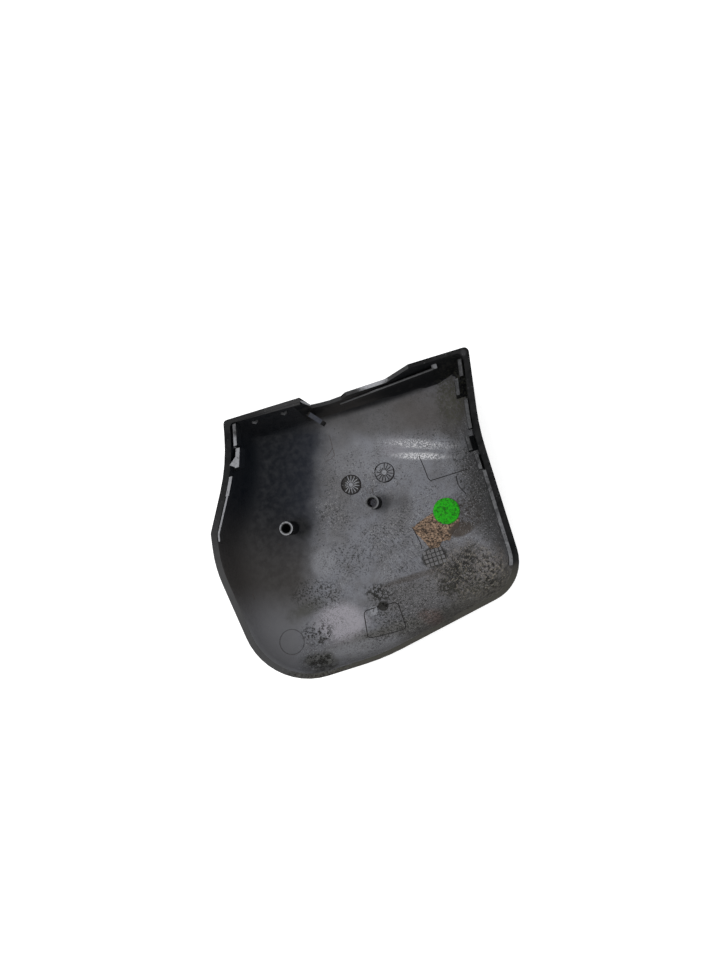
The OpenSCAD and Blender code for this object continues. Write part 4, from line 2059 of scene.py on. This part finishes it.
def finish_paper(
    mesh: BMesh,
    name: str,
    material: Material,
    thickness: float,
    node: str,
) -> Object:
    """Gives a paper skin its thickness and puts it in place of a node.

    Args:
        mesh: The upper face of the paper.
        name: The piece's name.
        material: Its finish.
        thickness: Its thickness, in millimetres.
        node: The node that it stands for.

    Returns:
        The paper.
    """
    bmesh.ops.recalc_face_normals(mesh, faces=mesh.faces)
    if sum(face.normal.z for face in mesh.faces) < 0:
        bmesh.ops.reverse_faces(mesh, faces=mesh.faces)
    for face in mesh.faces:
        face.smooth = True
    data = bpy.data.meshes.new(name)
    mesh.to_mesh(data)
    mesh.free()
    data.materials.append(material)
    paper = new_object(name, data)
    solidify = paper.modifiers.new("thickness", "SOLIDIFY")
    solidify.thickness = thickness * MM
    solidify.offset = -1.0
    settle(paper)
    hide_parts(node)
    return paper


@dataclass
class LooseDirt:
    """Crumbs of dirt and lint on the inner face, thickest in its corners.

    Attributes:
        light: Finish of the light crumbs.
        dark: Finish of the dark crumbs.
        grain: Radius of the largest crumbs.
        smallest: Size of the smallest as a share of the largest.
        dark_count: Dark crumbs on a square metre of the thickest dirt.
        light_count: Light crumbs there.
        seeds: Seeds of the dark and of the light crumbs.
        least_rise: Least upward share of the normal of a face that crumbs lie on.
        highest: Greatest height of such a face.
        longest_edge: Length over which an edge of the floor is cut.
        cuts: Cuts made in it.
        drifts: Place, radius and amount of each drift of dirt.
    """

    light: Material
    dark: Material
    grain: float = 0.24
    smallest: float = 0.3
    dark_count: float = 230000.0
    light_count: float = 140000.0
    seeds: tuple[int, int] = (11, 23)
    least_rise: float = 0.35
    highest: float = 30.0
    longest_edge: float = 8.0
    cuts: int = 3
    drifts: tuple[tuple[float, float, float, float], ...] = (
        (60.0, -46.0, 17.0, 1.0),
        (50.0, -55.0, 12.0, 0.7),
        (74.0, -10.0, 9.0, 0.4),
        (-5.0, -49.5, 8.0, 0.9),
        (-51.0, -63.0, 12.0, 0.7),
        (-52.0, -44.0, 10.0, 0.6),
        (81.0, 65.0, 9.0, 1.0),
        (25.0, -47.0, 20.0, 0.15),
    )

    def build(self, cover: Object, patterns: Patterns) -> list[Object]:
        """Scatters the crumbs.

        Args:
            cover: The cover they lie on.
            patterns: The geometry node trees.

        Returns:
            The dark and the light crumbs.
        """
        made = []
        for name, material, seed, density in (
            ("dark_crumbs", self.dark, self.seeds[0], self.dark_count),
            ("light_crumbs", self.light, self.seeds[1], self.light_count),
        ):
            piece = run_pattern(
                name,
                self._floor(cover),
                patterns.crumbs,
                {
                    "Density": density,
                    "Seed": seed,
                    "Grain": self.grain * MM,
                    "Smallest": self.smallest,
                    "Largest": 1.0,
                    "Material": material,
                },
            )
            made.append(settle(piece))
        return made

    def _floor(self, cover: Object) -> Mesh:
        """Cuts the cover's floor fine and gives each point its amount of dirt.

        Args:
            cover: The cover.

        Returns:
            A mesh of the floor, with the amounts in its dirt attribute.
        """
        mesh = bmesh.new()
        mesh.from_mesh(cover.data)
        drop = [face for face in mesh.faces if not self._holds_dirt(face)]
        bmesh.ops.delete(mesh, geom=drop, context="FACES")
        long_edges = [e for e in mesh.edges if e.calc_length() > self.longest_edge * MM]
        bmesh.ops.subdivide_edges(mesh, edges=long_edges, cuts=self.cuts, use_grid_fill=True)
        layer = mesh.verts.layers.float.new("dirt")
        for vertex in mesh.verts:
            vertex[layer] = self._dirt(vertex.co)
        data = bpy.data.meshes.new("floor")
        mesh.to_mesh(data)
        mesh.free()
        return data

    def _holds_dirt(self, face: BMFace) -> bool:
        """Tells whether crumbs may lie on a face: low, inner and not steep.

        Args:
            face: A face of the cover.

        Returns:
            Whether it is kept.
        """
        is_low = face.calc_center_median().z <= self.highest * MM
        is_inner = face.material_index == Zone.INNER.value
        return is_inner and is_low and face.normal.z >= self.least_rise

    def _dirt(self, place: Vector) -> float:
        """Sums the drifts of dirt at a place.

        Args:
            place: The place, in metres.

        Returns:
            The amount of dirt, from 0 to about 1.
        """
        total = 0.0
        for x, y, radius, amount in self.drifts:
            reach = math.hypot(place.x / MM - x, place.y / MM - y) / radius
            total += amount * math.exp(-reach * reach)
        return total


@dataclass
class Fibres:
    """Fine hairs and scratches lying on the inner face.

    Attributes:
        material: Their finish.
        width: Their width.
        step: Distance between the points of a fibre.
        lift: Height of its middle over the surface.
    """

    material: Material
    width: float = 0.22
    step: float = 0.8
    lift: float = 0.04

    def build(self, seat: Seat, patterns: Patterns) -> Object:
        """Makes the fibres.

        Args:
            seat: The inner face.
            patterns: The geometry node trees.

        Returns:
            The fibres.
        """
        lines: list[list[Pixel]] = [
            [
                (329.0, 435.0),
                (331.0, 441.0),
                (332.4, 448.0),
                (334.6, 455.0),
                (331.0, 459.0),
                (325.0, 462.0),
            ],
            [(332.4, 448.0), (330.2, 452.0), (327.6, 455.5)],
            [(366.0, 489.0), (368.0, 493.5)],
            [(372.0, 488.5), (373.0, 493.5)],
            [(277.5, 544.0), (282.0, 546.0)],
            [(252.5, 594.0), (255.0, 599.5)],
        ]
        paths = [seat.path(line, self.step, self.lift) for line in lines]
        piece = run_pattern(
            "fibres",
            line_mesh("fibres", paths),
            patterns.moulded_line,
            {"Width": self.width * MM, "Material": self.material},
        )
        return settle(piece)


@dataclass
class Studio:
    """White table, soft light from the left and a white surround, in metres and watts.

    Attributes:
        table_size: Side of the table.
        table_glow: Light that the table adds where the camera sees it.
        surround: Strength of the surround's light.
        key_power: Power of the lamp on the left.
        key_size: Its side.
        key_place: Its place.
        top_power: Power of the lamp overhead.
        top_size: Its side.
        top_place: Its place.
    """

    table_size: float = 6.0
    table_glow: float = 0.5
    surround: float = 0.66
    key_power: float = 7.0
    key_size: float = 0.6
    key_place: tuple[float, float, float] = (-0.95, 0.25, 1.0)
    top_power: float = 5.0
    top_size: float = 1.4
    top_place: tuple[float, float, float] = (0.25, -0.2, 1.5)

    def build(self) -> None:
        """Makes the table, the lamps and the surround."""
        self._table()
        self._lamp("key_light", self.key_place, self.key_power, self.key_size)
        self._lamp("top_light", self.top_place, self.top_power, self.top_size)
        self._surround()
        bpy.context.scene.view_settings.view_transform = "Standard"

    def _table(self) -> None:
        """The table: white to the camera, and it keeps the cover's shadow."""
        half = self.table_size / 2
        data = bpy.data.meshes.new("table")
        data.from_pydata(
            [(-half, -half, 0.0), (half, -half, 0.0), (half, half, 0.0), (-half, half, 0.0)],
            [],
            [(0, 1, 2, 3)],
        )
        material = bpy.data.materials.new("white_table")
        material.use_nodes = True
        desk = Desk(material.node_tree)
        paint = desk.add("ShaderNodeBsdfDiffuse", {"Color": Tone.WHITE.rgba})
        seen = desk.add("ShaderNodeLightPath").outputs["Is Camera Ray"]
        strength = desk.math("MULTIPLY", seen, self.table_glow)
        glow = desk.add("ShaderNodeEmission", {"Strength": strength})
        both = desk.add("ShaderNodeAddShader", {0: paint.outputs[0], 1: glow.outputs[0]})
        output = desk.add("ShaderNodeOutputMaterial")
        desk.feed(output.inputs["Surface"], both.outputs[0])
        data.materials.append(material)
        table = new_object("table", data)

    @staticmethod
    def _lamp(name: str, place: tuple[float, float, float], power: float, size: float) -> None:
        """A square lamp that faces the cover.

        Args:
            name: The lamp's name.
            place: Its place, in metres.
            power: Its power, in watts.
            size: Its side, in metres.
        """
        data = bpy.data.lights.new(name, "AREA")
        data.energy = power
        data.size = size
        lamp = new_object(name, data)
        lamp.location = place
        lamp.rotation_mode = "QUATERNION"
        lamp.rotation_quaternion = (-Vector(place)).to_track_quat("-Z", "Y")

    def _surround(self) -> None:
        """An even surround that the camera sees as white."""
        world = bpy.data.worlds.new("surround")
        world.use_nodes = True
        bpy.context.scene.world = world
        desk = Desk(world.node_tree)
        seen = desk.add("ShaderNodeLightPath").outputs["Is Camera Ray"]
        strength = desk.ramp(seen, 0.0, 1.0, self.surround, 1.0)
        back = desk.add("ShaderNodeBackground", {"Color": (1.0, 1.0, 1.0, 1.0), "Strength": strength})
        output = desk.add("ShaderNodeOutputWorld")
        desk.feed(output.inputs["Surface"], back.outputs[0])


# Stains, dust and grime of the inner face, with painted shadows and highlights among them.
INNER_PATCHES = (
    Patch((32.0, 66.0), (52.0, 13.0), Tone.THIN_DUST, 0.75, ragged=0.15),
    Patch((60.0, 62.0), (24.0, 16.0), Tone.WARM_DUST, 0.65, ragged=0.25),
    Patch((80.0, 58.0), (11.0, 22.0), Tone.WALL_BROWN, 0.85, ragged=0.5),
    Patch((85.0, -9.0), (15.0, 52.0), Tone.SLOPE_GREY, 0.9, turn=4.0, ragged=0.2),
    Patch((-12.0, 32.0), (13.0, 42.0), Tone.THIN_DUST, 0.55, turn=-20.0, edge=0.7, ragged=0.25),
    # Broad painted highlight over the upper floor.
    Patch((18.0, 40.0), (34.0, 13.0), Tone.PALE_DUST, 0.35, ragged=0.2),
    # Painted shade on the top wall's inner face.
    Patch((-32.0, 87.0), (40.0, 12.0), Tone.SHADED_BLACK, 0.8, turn=0.0, edge=0.6, ragged=0.1),
    # Two painted highlight bands on the floor's upper crease: lilac and pale tones with fine glints.
    Patch((34.0, 44.0), (9.0, 7.0), Tone.LILAC_HIGHLIGHT, 0.3, ragged=0.5),
    Patch((50.0, 41.6), (25.0, 4.0), Tone.PALE_DUST, 0.4, turn=-21.0, edge=0.7),
    Patch(
        (49.0, 41.2), (19.0, 2.6), Tone.GLINT_HIGHLIGHT, 0.75,
        turn=-21.0, edge=0.6, crumbs=1100.0, level=0.53,
    ),
    Patch((48.0, 33.2), (18.0, 2.9), Tone.PALE_DUST, 0.6, turn=-19.0, edge=0.6),
    Patch(
        (47.5, 33.2), (16.0, 2.1), Tone.GLINT_HIGHLIGHT, 0.9,
        turn=-19.0, edge=0.5, crumbs=1100.0, level=0.5,
    ),
    # Painted highlight: broad reflection on the lower slope.
    Patch((-36.5, -60.5), (17.0, 12.5), Tone.LILAC_HIGHLIGHT, 0.95, edge=0.35, ragged=0.2),
    Patch((-37.0, -17.0), (8.0, 10.0), Tone.PALE_DUST, 0.6, ragged=0.4),
    Patch((22.0, 2.0), (9.0, 16.0), Tone.THIN_DUST, 0.4),
    Patch((22.0, -60.0), (36.0, 14.0), Tone.THIN_DUST, 0.7, ragged=0.3),
    Patch((58.0, -50.0), (25.0, 17.0), Tone.FLOOR_BROWN, 0.6, ragged=0.4),
    # Painted shadow line under the low step in the floor.
    Patch((20.0, -44.4), (22.0, 2.0), Tone.WARM_DUST, 0.8, turn=2.0, ragged=0.2),
    Patch((8.0, -77.0), (54.0, 8.0), Tone.WALL_OLIVE, 0.8, turn=0.0, ragged=0.3),
    Patch((60.0, -69.0), (30.0, 10.0), Tone.WALL_OLIVE, 0.85, turn=20.0, ragged=0.3),
    Patch((24.0, -71.5), (8.0, 4.0), Tone.RUST_TINT, 0.45, ragged=0.6),
    # Painted highlight: a light strip along the bottom fillet.
    Patch((-21.0, -78.6), (26.0, 4.0), Tone.PALE_DUST, 0.6, turn=-3.0, ragged=0.4),
    # Painted shadow of the left boss on the floor to its right.
    Patch((-46.0, 10.0), (6.4, 7.0), Tone.SHADED_BLACK, 0.85, turn=0.0, edge=0.5, ragged=0.15),
    # Painted shadow to the right of the right boss.
    Patch((12.6, 10.0), (6.4, 6.4), Tone.SHADED_BLACK, 0.55, turn=0.0, ragged=0.15),
    # Painted shade inside the right boss's bore.
    Patch(RIGHT_BOSS, (3.5, 3.5), Tone.SHADED_BLACK, 0.95, edge=0.03, ragged=0.0),
    # Painted light on the floor of the right boss's bore.
    Patch(RIGHT_BOSS, (3.0, 3.0), Tone.BORE_FLOOR_HIGHLIGHT, 0.95, edge=0.04, ragged=0.0),
    # Painted shadow of the top wall along the floor beneath it.
    Patch((38.0, 80.0), (52.0, 5.6), Tone.SHADED_BLACK, 0.95, turn=0.0, edge=0.35, ragged=0.1),
    Patch((-3.9, 28.4), (6.8, 6.8), Tone.DARK_GRIME, 0.93, edge=0.06, ragged=0.04),
    # Painted highlight on the top of the raised block.
    Patch((-12.9, -58.9), (3.6, 3.4), Tone.PALE_DUST, 0.75, edge=0.12, ragged=0.1),
    # Painted shade in the small pocket beside the block.
    Patch((-5.6, -57.4), (3.7, 3.3), Tone.GRIME_BLACK, 0.97, edge=0.15, ragged=0.2),
    Patch((37.2, -35.5), (9.0, 7.2), Tone.GRIME_BLACK, 0.9, turn=2.0, edge=0.12, ragged=0.1),
    GLUE_PLACE,
    Patch((68.0, -14.0), (8.0, 12.0), Tone.GLUE_BROWN, 0.5, turn=10.0, edge=0.6, ragged=0.4),
    Patch((67.0, -13.0), (8.0, 13.0), Tone.GLUE_BROWN, 0.85, turn=10.0, crumbs=640.0, level=0.52),
    Patch((59.0, -53.0), (23.0, 17.0), Tone.CRUMB_TAN, 0.65, ragged=0.5, crumbs=640.0, level=0.56),
    Patch(
        (58.0, -51.0), (22.0, 16.0), Tone.GRIME_BLACK, 0.95,
        ragged=0.5, crumbs=470.0, level=0.525,
    ),
    Patch((51.5, -49.5), (16.0, 7.5), Tone.DARK_GRIME, 0.4, turn=36.0, edge=0.6, ragged=0.6),
    Patch(
        (51.0, -49.5), (16.0, 7.5), Tone.GRIME_BLACK, 0.97,
        turn=38.0, ragged=0.6, crumbs=460.0, level=0.49,
    ),
    Patch((40.5, -56.0), (7.0, 4.5), Tone.GRIME_BLACK, 0.97, ragged=0.6, crumbs=420.0, level=0.48),
    Patch((54.0, -52.0), (20.0, 14.0), Tone.CRUMB_TAN, 0.6, ragged=0.5, crumbs=620.0, level=0.59),
    Patch((50.0, -57.0), (16.0, 9.0), Tone.OLIVE_GRIME, 0.6, ragged=0.5, crumbs=420.0, level=0.54),
    Patch((26.0, -58.0), (32.0, 11.0), Tone.DARK_GRIME, 0.75, ragged=0.5, crumbs=760.0, level=0.56),
    Patch((-6.0, -48.5), (10.0, 6.0), Tone.GRIME_BLACK, 0.95, ragged=0.5, crumbs=380.0, level=0.5),
    Patch((-3.0, -62.0), (15.0, 10.0), Tone.DARK_GRIME, 0.75, ragged=0.3, crumbs=800.0, level=0.54),
    Patch(
        (-57.0, -45.0), (11.0, 4.6), Tone.OLIVE_GRIME, 0.6,
        turn=12.0, edge=0.7, ragged=1.0, scale=220.0,
    ),
    Patch(
        (-47.0, -37.0), (17.0, 10.0), Tone.DARK_GRIME, 0.85,
        ragged=0.4, crumbs=720.0, level=0.53,
    ),
    Patch((-53.0, -63.5), (11.0, 7.5), Tone.DARK_GRIME, 0.95, ragged=0.6, crumbs=360.0, level=0.51),
    Patch((-53.0, -63.5), (11.0, 8.0), Tone.PALE_DUST, 0.7, ragged=0.6, crumbs=620.0, level=0.56),
    Patch((-54.0, -79.5), (12.0, 5.0), Tone.OLIVE_GRIME, 0.6, ragged=0.6),
    Patch((-54.0, -79.5), (10.0, 4.5), Tone.GRIME_BLACK, 0.95, ragged=0.6, crumbs=320.0, level=0.5),
    Patch((10.0, -73.0), (46.0, 7.0), Tone.DARK_GRIME, 0.7, turn=0.0, crumbs=700.0, level=0.54),
    Patch((76.0, 8.0), (10.0, 30.0), Tone.DARK_GRIME, 0.85, turn=0.0, crumbs=700.0, level=0.55),
    Patch((79.0, 62.0), (10.0, 16.0), Tone.OLIVE_GRIME, 0.85, turn=0.0, crumbs=560.0, level=0.49),
    Patch((0.0, -8.0), (26.0, 22.0), Tone.DARK_GRIME, 0.5, ragged=0.5, crumbs=760.0, level=0.58),
    Patch((26.0, -34.0), (30.0, 10.0), Tone.DARK_GRIME, 0.5, ragged=0.5, crumbs=820.0, level=0.57),
    Patch(
        (-21.0, -22.0), (17.0, 13.0), Tone.DARK_GRIME, 0.65,
        ragged=0.6, crumbs=760.0, level=0.55,
    ),
)

# Tones on the worn and lit edges: painted highlights, painted shade along the top wall, and dirt.
EDGE_PATCHES = (
    # Painted highlight on the lit tops of the left tongues.
    Patch(
        (-80.0, 46.0), (26.0, 46.0), Tone.BRIGHT_WEAR_AND_HIGHLIGHT, 0.7,
        turn=0.0, edge=0.1, ragged=0.1, scale=260.0,
    ),
    # Darkens the edges along the top wall: painted shade of that wall over clean black plastic.
    Patch((30.0, 84.0), (64.0, 7.0), Tone.DARK_DIRT_AND_SHADE, 0.9, turn=0.0, edge=0.2, ragged=0.1),
    Patch(
        (33.5, 84.3), (8.5, 3.4), Tone.BRIGHT_WEAR_AND_HIGHLIGHT, 0.9,
        turn=0.0, edge=0.45, ragged=0.5, scale=500.0,
    ),
    # Painted highlight: the thin lit top edge of the rib along the top wall.
    Patch(
        (40.0, 79.65), (36.0, 0.22), Tone.WORN_AND_LIT_GREY, 0.7,
        turn=0.0, edge=0.4, ragged=0.2, scale=500.0,
    ),
    # Painted highlight on the post's nub.
    Patch((74.4, 81.4), (2.0, 1.7), Tone.BRIGHT_WEAR_AND_HIGHLIGHT, 0.45, turn=0.0, edge=0.4),
    Patch((86.0, 58.0), (10.0, 40.0), Tone.DARK_DIRT_AND_SHADE, 0.45, turn=0.0, edge=0.2, ragged=0.3),
    # Painted highlight along the top of the long right rib.
    Patch((85.0, -40.0), (8.0, 22.0), Tone.BRIGHT_WEAR_AND_HIGHLIGHT, 0.25, turn=0.0, edge=0.5, ragged=0.4),
    # The blade's plate, painted with a bluish sheen as it looks lit.
    Patch((-9.2, 73.9), (7.0, 7.0), Tone.BLUE_SHEEN, 0.85, edge=0.1, ragged=0.0),
)

RING_PATCHES = (
    Patch(LEFT_BOSS, (3.75, 3.75), Tone.GRIT, 0.85, edge=0.05, ragged=0.0),
    Patch(RIGHT_BOSS, (3.75, 3.75), Tone.GRIT, 0.7, edge=0.05, ragged=0.0),
    Patch(RIGHT_BOSS, (8.0, 8.0), Tone.DARK_DIRT_AND_SHADE, 0.55, edge=0.1, ragged=0.0),
)

WALL_PATCHES = (
    Patch((84.0, 66.0), (12.0, 16.0), Tone.OLIVE_GRIME, 0.6, turn=0.0, crumbs=560.0, level=0.54),
    Patch((8.0, 76.0), (24.0, 6.0), Tone.WALL_BROWN, 0.6, turn=0.0, edge=0.6, ragged=0.4),
    # Painted highlight: the thin lit sliver at the notch's end.
    Patch((-11.5, 84.4), (2.2, 0.9), Tone.BRIGHT_WEAR_AND_HIGHLIGHT, 0.9, turn=-14.0, edge=0.2, ragged=0.1),
)

RIM_PATCHES = (
    Patch((-92.0, -30.0), (15.0, 50.0), Tone.RIM_PALE, 0.9, turn=0.0, edge=0.5),
    Patch((-72.0, -80.0), (32.0, 20.0), Tone.RIM_PALE, 0.85, turn=0.0, edge=0.4),
    Patch((-84.0, 25.0), (12.0, 22.0), Tone.RIM_GREY, 0.4, turn=-20.0, edge=0.6),
    Patch((-22.0, 86.0), (14.0, 5.0), Tone.RIM_PALE, 0.6, turn=0.0, edge=0.5),
    Patch((-40.0, 86.0), (34.0, 6.0), Tone.RIM_GREY, 0.45, turn=0.0, edge=0.6),
    Patch((6.0, -90.0), (84.0, 18.0), Tone.RIM_OLIVE, 0.95, turn=0.0, edge=0.3),
    Patch((70.0, -76.0), (32.0, 24.0), Tone.RIM_OLIVE, 0.95, turn=0.0, edge=0.25),
    Patch((-60.0, -84.0), (30.0, 9.0), Tone.WORN_AND_LIT_GREY, 0.6, turn=0.0, crumbs=640.0, level=0.57),
    Patch((-58.0, -84.0), (26.0, 7.0), Tone.DARK_GRIME, 0.8, turn=0.0, crumbs=700.0, level=0.54),
    # Painted highlight on a small lit facet at the top right corner.
    Patch((93.8, 83.2), (1.6, 2.0), Tone.WORN_AND_LIT_GREY, 0.3, turn=0.0, edge=0.5),
)


def main() -> None:
    """Builds the cover's pieces in order and reports them."""
    logging.basicConfig(level=logging.INFO, format="%(name)s %(message)s")
    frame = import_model()
    nodes = frame["nodes"]
    view = PhotoView()
    view.add_camera()
    effects = Effects()
    patterns = Patterns()

    finishes = {
        # The inner face carries painted shade, sheen and highlights besides its dust and grime.
        Zone.INNER: InnerFinish("inner_plastic_with_dust_and_light", specular=0.3, patches=INNER_PATCHES),
        Zone.OUTER: OuterFinish("grained_outer_plastic"),
        Zone.RIM: RimFinish("rim_land_plastic", specular=0.15, patches=RIM_PATCHES),
        # Tops of tongues, tabs and the blade, worn and painted as lit.
        Zone.WORN_AND_LIT_EDGE: WornAndLitEdgeFinish("worn_and_lit_edge_plastic", specular=0.3, patches=EDGE_PATCHES),
        # Walls, pockets and holes in painted shade.
        Zone.SHADED_BLACK: ShadedBlackFinish(
            "shaded_black_plastic", roughness=0.75, specular=0.15, patches=WALL_PATCHES
        ),
        # Boss ring tops, worn and painted light as lit from above.
        Zone.BOSS_RING: WornAndLitEdgeFinish(
            "boss_ring_plastic", light=Tone.RING_WORN_AND_LIT, dirt=0.4, patches=RING_PATCHES
        ),
    }
    cover_looks = {zone: finish.build(effects) for zone, finish in finishes.items()}
    dark_line = PlainFinish(
        "moulded_line",
        roughness=0.7,
        specular=0.2,
        tone=Tone.BLACK_LINE,
        second=Tone.WARM_DUST,
        share=0.3,
    ).build(effects)
    marks = PlainFinish("raised_squares", tone=Tone.THIN_DUST, second=Tone.PALE_DUST).build(effects)
    light_bar = PlainFinish(
        "light_dial_bars", tone=Tone.DUST, second=Tone.LINT, scale=900.0
    ).build(effects)
    faint_line = PlainFinish(
        "faint_moulded_line", tone=Tone.RIM_PALE, second=Tone.DULL_PLASTIC
    ).build(effects)
    fibre = PlainFinish("brown_fibre", tone=Tone.FIBRE, second=Tone.GLUE_BROWN).build(effects)
    light = PlainFinish(
        "light_lint", roughness=0.9, tone=Tone.PALE_DUST, second=Tone.LINT
    ).build(effects)
    dark = PlainFinish(
        "dark_grit", roughness=0.9, tone=Tone.GRIT, second=Tone.WARM_DUST
    ).build(effects)
    low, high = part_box(DOT_NODE)
    middle = (low + high) / 2 / MM
    green = DotFinish(
        "green_dot_paper", roughness=0.7, specular=0.12, centre=(middle.x, middle.y)
    ).build(effects)
    torn = TornPaperFinish("torn_label_paper", roughness=0.9).build(effects)

    seat = Seat(nodes[COVER_NODE], view)
    cover = CoverShell(cover_looks).build(nodes[COVER_NODE])
    DateDials((light_bar, dark_line), light_bar).build(seat, patterns)
    MouldedLines(dark_line, faint_line).build(seat, patterns)
    SquareTable(marks).build(seat, patterns)
    Fibres(fibre).build(seat, patterns)
    InspectionDot(green).build(seat)
    LabelResidue(torn).build(nodes[RESIDUE_NODE], seat)
    LooseDirt(light, dark).build(cover, patterns)
    Studio().build()

    bpy.context.view_layer.update()


if __name__ == "__main__":
    main()
